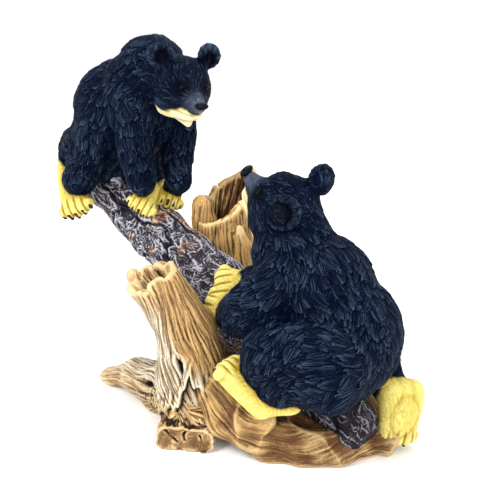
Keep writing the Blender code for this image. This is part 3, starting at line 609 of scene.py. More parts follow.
def lump_points(lump, unit):
    """The points of one lump: a ball stretched to its axes, or its upper half moved to the bar's end."""
    if lump.axes:
        return unit @ np.array([axis[:] for axis in lump.axes]) + lump.start
    length = (lump.end - lump.start).length
    turn = np.array(UP.rotation_difference(lump.end - lump.start).to_matrix())
    high = unit[:, 2:] > -1e-4
    points = unit * np.where(high, lump.end_radius, lump.start_radius)
    return (points + high * np.array((0, 0, length))) @ turn.T + lump.start


def new_mesh(work, name):
    mesh = bpy.data.meshes.new(name)
    work.to_mesh(mesh)
    work.free()
    return mesh


def mesh_of(lumps, fine=False):
    unit, faces = FINE_BALL if fine else COARSE_BALL
    points = [lump_points(lump, unit) for lump in lumps]
    corners = []
    for number, lump in enumerate(lumps):
        mirrored = lump.axes and Matrix([axis[:] for axis in lump.axes]).determinant() < 0
        corners.append((faces[:, ::-1] if mirrored else faces) + number * len(unit))
    mesh = bpy.data.meshes.new("lumps")
    mesh.from_pydata(np.concatenate(points).tolist(), [], np.concatenate(corners).tolist())
    return mesh


def opened(*meshes):
    work = bmesh.new()
    for mesh in meshes:
        work.from_mesh(mesh)
    return work


def cut_flat(mesh, place=(0, 0, 0), out=(0, 0, -1)):
    """The mesh without what lies beyond a plane, closed again there. By default that is the ground."""
    work = opened(mesh)
    geometry = work.verts[:] + work.edges[:] + work.faces[:]
    bmesh.ops.bisect_plane(work, geom=geometry, plane_co=place, plane_no=out, clear_outer=True)
    bmesh.ops.holes_fill(work, edges=[edge for edge in work.edges if edge.is_boundary])
    bmesh.ops.triangulate(work, faces=work.faces[:])
    return new_mesh(work, "cut")


def applied(mesh, *steps):
    """The mesh after modifiers, each given as its type and its settings."""
    thing = bpy.data.objects.new("work", mesh)
    bpy.context.collection.objects.link(thing)
    for kind, settings in steps:
        modifier = thing.modifiers.new(kind.lower(), kind)
        for name, value in settings.items():
            setattr(modifier, name, value)
    evaluated = thing.evaluated_get(bpy.context.evaluated_depsgraph_get())
    result = bpy.data.meshes.new_from_object(evaluated)
    bpy.data.objects.remove(thing)
    return result


def fused(mesh, grain, rounds):
    """One skin around all lumps, then softened so that they flow into each other."""
    remesh = ("REMESH", {"mode": "VOXEL", "voxel_size": grain})
    soften = ("SMOOTH", {"factor": 0.5, "iterations": rounds})
    return applied(mesh, remesh, soften)


def edges_of(mesh):
    edges = np.empty(len(mesh.edges) * 2, np.int32)
    mesh.edges.foreach_get("vertices", edges)
    return edges.reshape(-1, 2)


def largest_shell(mesh):
    """The mesh without the small closed shells that fusing leaves inside it."""
    edges = edges_of(mesh)
    shell = np.arange(len(mesh.vertices))
    while True:
        low = np.minimum(shell[edges[:, 0]], shell[edges[:, 1]])
        lower = shell.copy()
        np.minimum.at(lower, edges[:, 0], low)
        np.minimum.at(lower, edges[:, 1], low)
        lower = lower[lower]
        if (lower == shell).all():
            break
        shell = lower
    stray = shell != np.bincount(shell).argmax()
    if not stray.any():
        return mesh
    work = opened(mesh)
    work.verts.ensure_lookup_table()
    bmesh.ops.delete(work, geom=[work.verts[i] for i in np.flatnonzero(stray)], context="VERTS")
    return new_mesh(work, "shell")


# Reading the skin


def arrays(mesh):
    points = np.empty(len(mesh.vertices) * 3)
    mesh.vertices.foreach_get("co", points)
    normals = np.empty(len(mesh.vertices) * 3)
    mesh.vertex_normals.foreach_get("vector", normals)
    return points.reshape(-1, 3), normals.reshape(-1, 3)


def dot(a, b):
    return np.einsum("ij,ij->i", a, b)


def step(value, low, high):
    """0 below low, 1 above high, and smooth between."""
    share = np.clip((value - low) / (high - low), 0, 1)
    return share * share * (3 - 2 * share)


def waves(points, size, seed):
    """Smooth noise of about -1 to 1 whose bumps are of the given size: waves in random directions."""
    random = np.random.default_rng(seed)
    total = np.zeros(len(points))
    for _ in range(7):
        way = random.normal(0, 1, 3)
        way *= math.tau / size / np.linalg.norm(way) * random.uniform(0.35, 0.9)
        total += np.sin(points @ way + random.uniform(0, math.tau))
    return total / 3


def lump_box(lump):
    """The corners of a lump's box, with the distance round it in which it counts."""
    if lump.axes:
        size = max(axis.length for axis in lump.axes)
    else:
        size = max(lump.start_radius, lump.end_radius)
    low = np.minimum(lump.start, lump.end) - size - NEAR
    high = np.maximum(lump.start, lump.end) + size + NEAR
    return low, high


def lump_distance(lump, points):
    """How far each point is from a lump's skin."""
    if lump.axes:
        inverse = Matrix([lump.axes[i] for i in range(3)]).transposed().inverted()
        local = (points - np.array(lump.start)) @ np.array(inverse).T
        return (np.linalg.norm(local, axis=1) - 1) * min(axis.length for axis in lump.axes)
    start, run = np.array(lump.start), np.array(lump.end - lump.start)
    share = np.clip((points - start) @ run / (run @ run), 0, 1)
    radius = lump.start_radius + (lump.end_radius - lump.start_radius) * share
    return np.linalg.norm(points - start - share[:, None] * run, axis=1) - radius


def gaps_and_flow(points, normals, lumps):
    """Each point's distance to each kind of lump, and the way that its carving runs along the skin."""
    gaps = np.full((len(points), KINDS), NEAR)
    flow = np.zeros((len(points), 3))
    for lump in lumps:
        low, high = lump_box(lump)
        found = np.flatnonzero(((points > low) & (points < high)).all(axis=1))
        distance = lump_distance(lump, points[found])
        gaps[found, lump.kind] = np.minimum(gaps[found, lump.kind], distance)
        weight = np.exp(-np.maximum(distance, 0) / 0.003)
        flow[found] += weight[:, None] * np.array(lump.flow.normalized())
    return gaps, along_skin(flow, normals)


def along_skin(flow, normals):
    flow = flow - dot(flow, normals)[:, None] * normals
    return flow / (np.linalg.norm(flow, axis=1)[:, None] + 1e-9)


def swirled(flow, points, normals, turn, size, seed):
    """The flow turned to and fro along the skin by up to about the given angle."""
    angle = (waves(points, size, seed) * turn)[:, None]
    return flow * np.cos(angle) + np.cross(normals, flow) * np.sin(angle)


def shares(gaps, blend):
    """How much each point belongs to each kind, from its distances to them."""
    nearest = gaps.min(axis=1)[:, None]
    weight = np.exp(-(gaps - nearest) / blend)
    return weight / weight.sum(axis=1)[:, None]


def crest(points, normals, edges, rounds):
    """How far each point stands out of its own surroundings, averaged over some rounds of neighbours."""
    count = np.bincount(edges.ravel(), minlength=len(points))
    smooth = points.copy()
    for _ in range(rounds):
        for axis in range(3):
            place = smooth[:, axis].copy()
            total = np.bincount(edges[:, 0], place[edges[:, 1]], len(points))
            total += np.bincount(edges[:, 1], place[edges[:, 0]], len(points))
            smooth[:, axis] = total / count
    return dot(points - smooth, normals)


# Carving


def near_pairs(points, centres, reach):
    """Batches of point and centre numbers whose grid cells touch. A point comes at most once in a batch."""
    low = np.minimum(points.min(0), centres.min(0)) - reach * 1.5
    cells = np.floor((points - low) / reach).astype(np.int64)
    centre_cells = np.floor((centres - low) / reach).astype(np.int64)
    size = np.maximum(cells.max(0), centre_cells.max(0)) + 3
    weights = np.array([size[1] * size[2], size[2], 1])
    order = np.argsort(centre_cells @ weights, kind="stable")
    keys = (centre_cells @ weights)[order]
    for shift in itertools.product((-1, 0, 1), repeat=3):
        wanted = (cells + shift) @ weights
        first = np.searchsorted(keys, wanted, "left")
        last = np.searchsorted(keys, wanted, "right")
        found = np.flatnonzero(first < last)
        while len(found):
            yield found, order[first[found]]
            first[found] += 1
            found = found[first[found] < last[found]]


def spaced(points, candidates, distance, random):
    """One of the candidates, picked at random, in each cell of a grid of the given pitch."""
    order = random.permutation(candidates)
    cells = np.floor((points[order] + random.uniform(0, distance, 3)) / distance).astype(int)
    _, first = np.unique(cells, axis=0, return_index=True)
    return order[np.sort(first)]


def tuft(run):
    """A lock of hair: narrow at its root, broad and highest at its blunt tip."""
    return np.minimum(1, 3 * run + 0.25) * np.sqrt(1 - run**6), 0.10 + 0.90 * run


def point(run):
    """A small lock of hair with a pointed tip."""
    return np.minimum(1, 3 * run + 0.25) * np.sqrt(1 - run**3), 0.25 + 0.75 * run


def spindle(run):
    """A ridge of wood or bark, which tapers at both ends."""
    bow = np.clip(4 * run * (1 - run), 0, 1)
    return bow**0.35, bow**0.3


def tree_of(points):
    tree = kdtree.KDTree(len(points))
    for index, place in enumerate(points.tolist()):
        tree.insert(place, index)
    tree.balance()
    return tree


# How much the strokes of one style differ in length, width and height
LENGTHS, WIDTHS, HEIGHTS = (0.7, 1.2), (0.7, 1.25), (0.6, 1.15)


def traced(skin, flow, seeds, style, random):
    """Follows the flow from each seed. Gives the middle, way and outward side of each stroke's pieces."""
    points, normals, tree = skin
    stride = style.length / style.pieces * random.uniform(*LENGTHS, len(seeds))[:, None]
    turn = random.normal(0, style.sway, len(seeds))[:, None]
    index, place = seeds, points[seeds]
    middles, ways, outs = [], [], []
    for _ in range(style.pieces):
        out = normals[index]
        way = flow[index] * np.cos(turn) + np.cross(out, flow[index]) * np.sin(turn)
        middles.append(place + way * stride / 2)
        ways.append(way)
        outs.append(out)
        place = place + way * stride
        index = np.array([tree.find(place_now)[1] for place_now in place.tolist()])
        place = place - normals[index] * dot(place - points[index], normals[index])[:, None]
    return np.concatenate(middles), np.concatenate(ways), np.concatenate(outs), stride[:, 0]


def stamped(skin, flow, chosen, style, random):
    """Overlapping strokes of one style: each point's height, its place in its stroke, and a tone."""
    points, normals, _ = skin
    seeds = spaced(points, chosen, style.pitch, random)
    count = len(seeds)
    middles, ways, outs, stride = traced(skin, flow, seeds, style, random)
    sides = np.cross(outs, ways)
    wide = style.width / 2 * random.uniform(*WIDTHS, count)
    tall = style.height * random.uniform(*HEIGHTS, count)
    waver = random.uniform(0, math.tau, count)
    tones = random.uniform(0, 1, count)
    best = np.zeros(len(chosen))
    rise = np.zeros(len(points))
    place = np.zeros((len(points), 3))
    tone = np.full(len(points), 0.5)
    mine, facing = points[chosen], normals[chosen]
    reach = math.hypot(stride.max() / 2, wide.max())
    for found, piece in near_pairs(mine, middles, reach):
        offset = mine[found] - middles[piece]
        local = dot(offset, ways[piece]) / stride[piece % count]
        here = (np.abs(local) < 0.6) & (dot(facing[found], outs[piece]) > 0.2)
        found, piece, offset, local = found[here], piece[here], offset[here], local[here]
        stroke = piece % count
        run = np.clip((piece // count + local + 0.5) / style.pieces, 0, 1)
        across = dot(offset, sides[piece])
        strand = np.floor(across / wide[stroke] * style.strands / 2 + 0.5)
        ragged = np.modf(np.abs(np.sin(strand * 12.99 + waver[stroke])) * 437.6)[0]
        half, height = style.shape(np.minimum(run / (1 - style.ragged * ragged), 1))
        share = across / (wide[stroke] * half + 1e-9)
        lift = tall[stroke] * height * np.sqrt(np.clip(1 - share**2, 0, 1))
        better = lift > best[found]
        kept = found, stroke, run, share, lift, across
        found, stroke, run, share, lift, across = (values[better] for values in kept)
        best[found] = lift
        phase = share * style.strands / 2 + 0.3 * np.sin(run * 5 + waver[stroke])
        groove = 1 - np.abs(np.sin(np.pi * phase))
        spot_of = chosen[found]
        rise[spot_of] = lift - groove * style.groove * style.height
        place[spot_of, 0] = across
        place[spot_of, 1] = run * stride[stroke] * style.pieces
        place[spot_of, 2] = tones[stroke] * 4
        tone[spot_of] = tones[stroke]
    return rise, place, tone


# Length, width, height, pitch, sway, strands, pieces, raggedness and grooves of each kind's strokes
STYLES = {
    FUR: Style(tuft, 0.0170, 0.0100, 0.00145, 0.0052, 0.30, 9, 2, 0.20, 0.16),
    HEAD: Style(point, 0.0060, 0.0019, 0.00060, 0.0014, 0.25, 3, 2, 0.25, 0.10),
    EAR: Style(point, 0.0055, 0.0019, 0.00065, 0.0013, 0.55, 3, 1, 0.2, 0.10),
    FACE: Style(point, 0.0035, 0.0010, 0.00014, 0.0009, 0.15, 0, 1, 0.0, 0.0),
    JAW: Style(point, 0.0060, 0.0012, 0.00014, 0.0011, 0.12, 0, 1, 0.0, 0.0),
    PAW: Style(point, 0.0060, 0.0012, 0.00020, 0.0011, 0.12, 0, 1, 0.0, 0.0),
    BARK: Style(spindle, 0.0045, 0.0011, 0.00070, 0.0012, 0.80, 0, 3, 0.0, 0.0),
    WOOD: Style(spindle, 0.0420, 0.0030, 0.00130, 0.0052, 0.05, 0, 9, 0.0, 0.0),
}

# Finer ridges over the flutes of the wood
GRAIN = Style(spindle, 0.0150, 0.0010, 0.00050, 0.0018, 0.07, 0, 5, 0.0, 0.0)


def carved(points, normals, flow, gaps, seed):
    """How high each point is raised into locks and flutes, its place in its stroke, and the stroke's tone."""
    random = np.random.default_rng(seed)
    skin = points, normals, tree_of(points)
    weights = shares(gaps, KIND_BLEND)
    rise = np.zeros(len(points))
    comb = np.zeros((len(points), 3))
    tone = np.full(len(points), 0.5)
    for kind, style in STYLES.items():
        chosen = np.flatnonzero(weights[:, kind] > 0.03)
        if not len(chosen):
            continue
        lift, place, shade = stamped(skin, flow, chosen, style, random)
        rise += weights[:, kind] * (lift - style.height / 2)
        most = weights[:, kind] > 0.5
        comb[most] = place[most]
        tone[most] = shade[most]
    return rise, comb, tone


def toe_grooves(points, lumps):
    """How deep the gaps between the toes are cut. Each is a slot across the foot, deepest at the toes."""
    cut = np.zeros(len(points))
    for lump in of_kind(lumps, GROOVE):
        run = lump.end - lump.start
        ahead = run.normalized()
        side = np.array(ahead.cross(lump.flow).normalized())
        offset = points - np.array(lump.start)
        along = offset @ np.array(ahead) / run.length
        near = (np.abs(offset @ np.array(lump.flow)) < lump.end_radius * 0.6) & (along < 1.5)
        slot = np.exp(-((offset @ side / lump.start_radius) ** 2)) * step(along, 0.0, 0.5) * near
        cut = np.maximum(cut, slot * lump.start_radius)
    return cut


def shaded(points, normals, lumps):
    """Where painted shade darkens the eye sockets and the ears' hollows."""
    dark = np.zeros(len(points))
    for lump in of_kind(lumps, SHADE):
        distance = np.linalg.norm(points - np.array(lump.start), axis=1)
        spot_share = np.exp(-((distance / lump.start_radius) ** 4))
        dark = np.maximum(dark, spot_share * step(normals @ np.array(lump.flow), 0.0, 0.5))
    return dark


def of_kind(lumps, kind):
    return [lump for lump in lumps if lump.kind == kind]


def perlin(points, size, seed):
    """Smooth noise of about -1 to 1, with bumps of about the given size."""
    shift = Vector((seed * 7.3, seed * 3.1, seed * 5.7))
    return np.array([noise.noise(Vector(place) + shift) for place in (points / size).tolist()])


def painted(mesh, name, *values):
    """Stores up to four values from 0 to 1 for each point, as one colour."""
    colours = np.ones((len(mesh.vertices), 4), np.float32)
    colours[:, : len(values)] = np.column_stack(values)
    mesh.attributes.new(name, "FLOAT_COLOR", "POINT").data.foreach_set("color", colours.ravel())


def skin_mesh(soft, crisp, rounds, cut=None, trunk=None, flat=False):
    """The fine skin round soft lumps that flow together, crisp ones that stay distinct, and a trunk."""
    smooth = applied(fused(mesh_of(soft), SOFT_GRAIN, rounds), ("SUBSURF", {"levels": 1}))
    shells = [cut_flat(smooth, *cut) if cut else smooth]
    if crisp:
        shells.append(mesh_of(crisp, fine=True))
    if trunk:
        shells.append(trunk)
    mesh = fused(new_mesh(opened(*shells), "joined"), FINE_GRAIN, FINE_ROUNDS)
    return largest_shell(cut_flat(mesh) if flat else mesh)


def placed(name, mesh, material):
    """Puts a finished piece in the scene as part of the casting."""
    mesh.materials.clear()
    mesh.materials.append(material)
    mesh.polygons.foreach_set("use_smooth", [True] * len(mesh.polygons))
    piece = bpy.data.objects.new(name, mesh)
    bpy.context.collection.objects.link(piece)
    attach(piece, "root")
    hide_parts("bears_on_seesaw")


def thinned(mesh, triangles):
    share = min(1, triangles / (2 * len(mesh.polygons)))
    return applied(mesh, ("TRIANGULATE", {}), ("DECIMATE", {"ratio": share}))


def bear_piece(name, soft, crisp, seed):
    """A bear's carved body, with its paint: the shares of yellow, grey, painted shade and cream."""
    fleshy = [lump for lump in crisp if lump.kind in (FUR, HEAD, EAR, FACE, JAW, PAW)]
    mesh = skin_mesh(soft, fleshy, SOFT_ROUNDS)
    points, normals = arrays(mesh)
    gaps, flow = gaps_and_flow(points, normals, soft + fleshy)
    flow = swirled(flow, points, normals, 0.30, 0.030, seed)
    rise, comb, tone = carved(points, normals, flow, gaps, seed)
    rise += 0.0004 * waves(points, 0.014, seed + 1)
    dark = shaded(points, normals, crisp)
    cream = np.minimum(gaps[:, PAW], gaps[:, JAW])
    cut = toe_grooves(points, crisp) * (cream < gaps[:, FUR] + 0.001)
    gaps[:, [PAW, JAW]] += 0.0007 * waves(points, 0.004, seed + 2)[:, None]
    mix = shares(gaps, PAINT_BLEND)
    points = points + normals * (rise - cut)[:, None]
    # Painted shade in the toe gaps and the mouth groove, darkest where they are cut deepest
    dark = np.maximum(dark, cut / (cut.max() + 1e-9) * 0.35)
    finish(mesh, points, (mix[:, PAW], mix[:, FACE], dark, mix[:, JAW]), comb, tone)
    placed(name, thinned(mesh, BEAR_TRIANGLES), FUR_MATERIAL)


# Rounds of neighbours that a point is held against, and the height over them that counts as a full crest
FINE_CREST, BROAD_CREST = (4, 0.0005), (40, 0.0024)


def finish(mesh, points, mask, comb, tone):
    """Moves the mesh to its carved points and stores what its material reads."""
    mesh.vertices.foreach_set("co", points.ravel())
    mesh.update()
    points, normals = arrays(mesh)
    edges = edges_of(mesh)
    form = []
    for rounds, full in (FINE_CREST, BROAD_CREST):
        form.append(np.clip(0.5 + crest(points, normals, edges, rounds) / full, 0, 1))
    painted(mesh, "mask", *mask)
    painted(mesh, "form", *form, tone)
    attribute = mesh.attributes.new("comb", "FLOAT_VECTOR", "POINT")
    attribute.data.foreach_set("vector", comb.astype(np.float32).ravel())


def cracked(points, paths, seed):
    """How deep thin, wandering cracks cut into each point, from 0 to 1."""
    bent = points + 0.0018 * np.column_stack([perlin(points, 0.0045, seed + i) for i in range(3)])
    parts = [part for path in paths for part in chain(GROOVE, *[(Vector(place), 0.0002) for place in path])]
    gap = np.minimum.reduce([lump_distance(part, bent) for part in parts])
    wide = 0.0004 + 0.0003 * perlin(points, 0.004, seed + 3)
    return np.exp(-((np.maximum(gap, 0) / wide) ** 2))


# Deep cracks in the log
LOG_CRACKS = (
    ((-0.0550, -0.0120, 0.0840), (-0.0470, -0.0140, 0.0800), (-0.0400, -0.0146, 0.0768)),
    ((-0.0400, -0.0146, 0.0768), (-0.0362, -0.0130, 0.0775), (-0.0345, -0.0100, 0.0795)),
)


def log_piece():
    """The log: bark of short crumpled ridges on broad plates, split by deep cracks."""
    lumps = log_lumps()
    low_end = on_log(LOG_LOW_END + LOG_LOW_RADIUS * 0.8), LOG_DOWN
    mesh = skin_mesh(lumps, [], SOFT_ROUNDS, low_end)
    points, normals = arrays(mesh)
    gaps, flow = gaps_and_flow(points, normals, lumps)
    along = (points - np.array(on_log(0))) @ np.array(LOG_DOWN)
    squeezed = points - 0.45 * along[:, None] * np.array(LOG_DOWN)
    bent = squeezed + 0.0022 * np.column_stack([perlin(squeezed, 0.005, seed) for seed in (61, 62, 63)])
    fold = np.clip(1 - np.abs(perlin(bent, 0.0060, 65)) * 3.5, 0, 1)
    split = np.clip(1 - np.abs(perlin(bent, 0.0170, 66)) * 12, 0, 1)
    gash = cracked(points, LOG_CRACKS, 71)
    flow = swirled(flow, points, normals, 1.0, 0.008, 37)
    rise, comb, tone = carved(points, normals, flow, gaps, 37)
    rise += 0.0008 * fold + 0.0008 * waves(points, 0.016, 32) - 0.0014 * split**0.7 - 0.0018 * gash
    end_face = step((points - np.array(low_end[0])) @ np.array(low_end[1]), -0.0010, -0.0003)
    rise *= 1 - 0.8 * end_face
    # From just before the lower bear's seat to the low end: painted shade under that bear, and no red-brown
    # patches
    low = step(along, LOWER_SEAT - 0.020, LOWER_SEAT - 0.004)
    red = step(perlin(points, 0.011, 67), 0.10, 0.42) * (1 - low)
    points = points + normals * rise[:, None]
    # Mask: red-brown patches, painted shade over the low end, and painted shade in the splits and cracks
    finish(mesh, points, (red, low, np.maximum(split**1.5, 0.85 * gash)), comb, tone)
    placed("log", thinned(mesh, LOG_TRIANGLES), BARK_MATERIAL)


def on_end(across, height):
    """A point on the cut root's end."""
    return ROOT_END[0] + ROOT_SIDE * across + (UP - ROOT_WAY * 0.15) * height


# Short cracks in the cut root's end
END_CRACKS = (
    (on_end(-0.0090, 0.0095), on_end(-0.0030, 0.0035)),
    (on_end(0.0012, 0.0098), on_end(0.0004, 0.0048)),
    (on_end(0.0078, 0.0085), on_end(0.0092, 0.0035)),
)

# The front stump's knot holes: middle, half width, half height and depth
KNOTS = (
    (Vector((0.0080, -0.0540, 0.0436)), 0.0014, 0.0036, 0.0034),
    (Vector((-0.0230, -0.0500, 0.0226)), 0.0018, 0.0036, 0.0034),
)


def knotted(points, normals, flow):
    """Flow that parts round the knot holes, and how deep they are cut, which also sets the painted shade in
    them.
    """
    cut = np.zeros(len(points))
    for middle, wide, high, depth in KNOTS:
        offset = points - np.array(middle)
        along = dot(offset, flow)
        sides = np.cross(normals, flow)
        across = dot(offset, sides)
        distance = np.maximum(np.linalg.norm(offset, axis=1), wide)
        size = high * 0.9
        close = distance < 0.030
        ahead = 1 - size**2 * (along**2 - across**2) / distance**4
        aside = -2 * size**2 * along * across / distance**4
        turned_flow = flow * np.maximum(ahead, 0.2)[:, None] + sides * aside[:, None]
        flow = np.where(close[:, None], turned_flow, flow)
        flow = along_skin(flow, normals)
        hole = np.exp(-(((across / wide) ** 2 + (along / high) ** 2) ** 1.5)) * (distance < 0.015)
        cut = np.maximum(cut, hole * depth)
    return flow, cut


def torn_bark(points):
    """The bare wood under the torn bark of the front stump's foot: how deep it lies, and the shadow on it."""
    reach = 0.0022 * np.sin(points[:, 0] * 900) + 0.0014 * np.sin(points[:, 0] * 2300 + 1)
    places = (-0.030, -0.008, 0.000, 0.0082, 0.0112, 0.0132, 0.0165, 0.022, 0.030)
    heights = (0.010, 0.014, 0.0177, 0.0246, 0.0390, 0.0340, 0.0220, 0.0250, 0.030)
    edge = np.interp(points[:, 0], places, heights) + reach
    over = points[:, 2] - edge
    near = step(-points[:, 1], 0.040, 0.044) * step(points[:, 0], -0.026, -0.020)
    sunk = 0.0024 * (1 - step(over, -0.0004, 0.0006)) * step(points[:, 2], 0.010, 0.018) * near
    curl = 0.0010 * step(over, -0.0004, 0.0006) * (1 - step(over, 0.002, 0.010)) * near
    shadow = step(over, -0.0034, -0.0006) * (1 - step(over, -0.0002, 0.0008)) * near
    return curl - sunk, shadow


def wood_piece(name, soft, tint, seed, triangles, stump=None, crisp=(), cut_end=None, gnarl=0.0):
    """A stump or a bank: long flutes from root to rim, flat where it stands."""
    bars = soft + list(crisp)
    trunk = None
    if stump:
        bars = bars + trunk_bars(stump[0])
        trunk = trunk_mesh(*stump, seed)
    mesh = skin_mesh(soft, list(crisp), WOOD_ROUNDS, cut_end, trunk, flat=True)
    points, normals = arrays(mesh)
    gaps, flow = gaps_and_flow(points, normals, bars)
    flow = swirled(flow, points, normals, 0.18 + 120 * gnarl, 0.030, seed)
    shadow = cut = lift = cut_face = split = np.zeros(len(points))
    if cut_end:
        flow, cut = knotted(points, normals, flow)
        lift, shadow = torn_bark(points)
        place, out = cut_end
        cut_face = step((points - np.array(place)) @ np.array(out), -0.0010, -0.0003)
        cut_face = cut_face * (points[:, 2] < 0.018)
        split = cracked(points, END_CRACKS, 81) * cut_face
    rise, _, _ = carved(points, normals, flow, gaps, seed)
    random = np.random.default_rng(seed + 5)
    skin = points, normals, tree_of(points)
    grain, comb, tone = stamped(skin, flow, np.arange(len(points)), GRAIN, random)
    rise = rise * 0.35 + grain * 0.6 if gnarl else rise * 0.9 + grain
    rise = rise * (1 - 0.75 * cut_face) - 0.0010 * cut_face - 0.0014 * split
    rise += 0.0006 * waves(points, 0.010, seed + 1) + lift * (1 - cut_face) - cut
    if gnarl:
        lump_noise = np.abs(perlin(points, 0.020, seed + 2))
        rise += gnarl * (1 - 3 * lump_noise) + gnarl * perlin(points, 0.009, seed + 3)
    rise[(points[:, 2] < 0.0012) & (normals[:, 2] < -0.5)] = 0
    points = points + normals * rise[:, None]
    points[:, 2] = np.maximum(points[:, 2], 0)
    gold, brown = tint(points, normals)
    brown = np.maximum(brown, cut_face * 0.7)
    # Painted shadow under the torn bark's edge, and painted shade in the knot holes and the cut end's cracks
    dark = np.maximum.reduce([shadow * 0.9, np.clip(cut / 0.0015, 0, 1), split * 0.9])
    finish(mesh, points, (gold, brown, dark), comb, tone)
    placed(name, thinned(mesh, triangles), WOOD_MATERIAL)


def small_piece(name, lumps, grain, material):
    """Glossy eyes, noses and claws: few lumps, fused finely."""
    mesh = fused(mesh_of(lumps, fine=True), grain, 2)
    placed(name, mesh, material)


# Materials


class Paint:
    """Short calls that add and link the nodes of one material."""

    def __init__(self, name, roughness, specular):
        self.material = bpy.data.materials.new(name)
        self.material.use_nodes = True
        self.tree = self.material.node_tree
        self.shader = self.tree.nodes["Principled BSDF"]
        self.put(self.shader, {"Roughness": roughness, "Specular IOR Level": specular})

    def put(self, node, values):
        """Links a node's inputs to sockets, or sets them to plain values."""
        for name, value in values.items():
            if isinstance(value, bpy.types.NodeSocket):
                self.tree.links.new(value, node.inputs[name])
            else:
                node.inputs[name].default_value = value

    def add(self, kind, values=(), **settings):
        """A new node with its settings and its inputs, given by name or number."""
        node = self.tree.nodes.new("ShaderNode" + kind)
        for name, value in settings.items():
            setattr(node, name, value)
        self.put(node, dict(values))
        return node

    def mix(self, share, a, b):
        a, b = [(*colour, 1) if isinstance(colour, tuple) else colour for colour in (a, b)]
        return self.add("Mix", {"Factor": share, 6: a, 7: b}, data_type="RGBA").outputs[2]

    def step(self, value, low, high):
        values = {"Value": value, "From Min": low, "From Max": high}
        return self.add("MapRange", values, interpolation_type="SMOOTHSTEP").outputs["Result"]

    def channels(self, name):
        node = self.add("Attribute", attribute_name=name)
        split = self.add("SeparateColor", {0: node.outputs["Color"]})
        return *split.outputs[:3], node.outputs["Alpha"]

    def total(self, *terms):
        """The sum of values, each times its own weight."""
        result = 0.0
        for value, weight in terms:
            values = enumerate((value, weight, result))
            result = self.add("Math", values, operation="MULTIPLY_ADD").outputs[0]
        return result

    def noise(self, source, scale, detail, roughness=0.55, turn=(0, 0, 0)):
        """Noise scaled along the axes of the comb attribute, or of the place on the object."""
        if source == "comb":
            vector = self.add("Attribute", attribute_name="comb").outputs["Vector"]
        else:
            vector = self.add("TexCoord").outputs["Object"]
        mapping = self.add("Mapping", {"Vector": vector, "Rotation": turn, "Scale": scale})
        values = {"Vector": mapping.outputs[0], "Scale": 1, "Detail": detail, "Roughness": roughness}
        return self.add("TexNoise", values).outputs["Fac"]

    def bump(self, height, distance, strength):
        node = self.add("Bump", {"Strength": strength, "Distance": distance, "Height": height})
        self.put(self.shader, {"Normal": node.outputs[0]})

    def finish(self, colour):
        self.put(self.shader, {"Base Color": colour})
        return self.material


def fur_material():
    """Navy-black fur, paler blue-grey on its crests by dry-brushing and a painted sheen; grey muzzle; cream
    paws with golden creases.
    """
    paint = Paint("painted_fur", 0.45, 0.02)
    yellow, grey, dark, cream = paint.channels("mask")
    fine, broad, tone, _ = paint.channels("form")
    strand = paint.noise("comb", (1300, 80, 1), 2)
    blotch = paint.noise("object", (90, 90, 90), 2)
    # Paler blue-grey crests: partly dry-brushed paint, partly a painted sheen
    brush_and_sheen = paint.total((fine, 0.55), (strand, 1.10), (broad, 0.30), (blotch, 0.35), (tone, 0.10))
    crests = paint.step(brush_and_sheen, 1.10, 1.85)
    fur = paint.mix(crests, (0.0005, 0.0022, 0.0105), (0.048, 0.078, 0.128))
    muzzle = paint.mix(crests, (0.030, 0.040, 0.064), (0.240, 0.270, 0.350))
    fur = paint.mix(grey, fur, muzzle)
    creases = paint.step(paint.total((fine, 0.9), (broad, 0.7), (strand, 0.4)), 0.65, 1.35)
    pale = paint.mix(blotch, (0.800, 0.660, 0.140), (0.880, 0.790, 0.280))
    pale = paint.mix(cream, pale, (0.880, 0.830, 0.540))
    paws = paint.mix(creases, paint.mix(cream, (0.400, 0.270, 0.030), (0.640, 0.500, 0.200)), pale)
    edge = paint.step(paint.total((yellow, 1.0), (cream, 1.0), (strand, 0.35)), 0.45, 0.95)
    colour = paint.mix(edge, fur, paws)
    # Painted shade in the eye sockets, the ears' hollows, and the toe and mouth grooves: navy on fur, brown on
    # cream
    shade = paint.mix(edge, (0.0010, 0.0016, 0.0040), (0.160, 0.070, 0.010))
    colour = paint.mix(paint.total((dark, 0.92)), colour, shade)
    paint.bump(strand, 0.0012, 0.9)
    return paint.finish(colour)


def bark_material():
    """Charcoal bark: thin lilac-grey ridges, black painted shade in the cracks, and small red-brown patches."""
    paint = Paint("painted_bark", 0.55, 0.10)
    red, low, crack, _ = paint.channels("mask")
    fine, broad, tone, _ = paint.channels("form")
    small = paint.noise("object", (900, 1300, 1300), 2, 0.6, (0, LOG_TILT, 0))
    blotch = paint.noise("object", (150, 150, 150), 3)
    base = paint.mix(blotch, (0.0030, 0.0030, 0.0060), (0.050, 0.042, 0.055))
    patch = paint.total((red, paint.step(blotch, 0.35, 0.60)))
    base = paint.mix(patch, base, (0.180, 0.075, 0.035))
    crests = (fine, 1.05), (small, 0.45), (blotch, 0.95), (tone, 0.10), (broad, 0.30)
    # Painted shade under the lower bear: the low end gets fewer pale crests, and it is darkened by half below
    lit = paint.total(*crests, (low, -0.15))
    pale = paint.mix(patch, (0.440, 0.430, 0.490), (0.560, 0.360, 0.210))
    colour = paint.mix(paint.step(lit, 1.38, 1.88), base, pale)
    colour = paint.mix(paint.total((low, 0.5)), colour, (0.008, 0.005, 0.006))
    # Black painted shade in the splits and cracks
    colour = paint.mix(crack, colour, (0.001, 0.001, 0.002))
    paint.bump(small, 0.0010, 0.9)
    return paint.finish(colour)


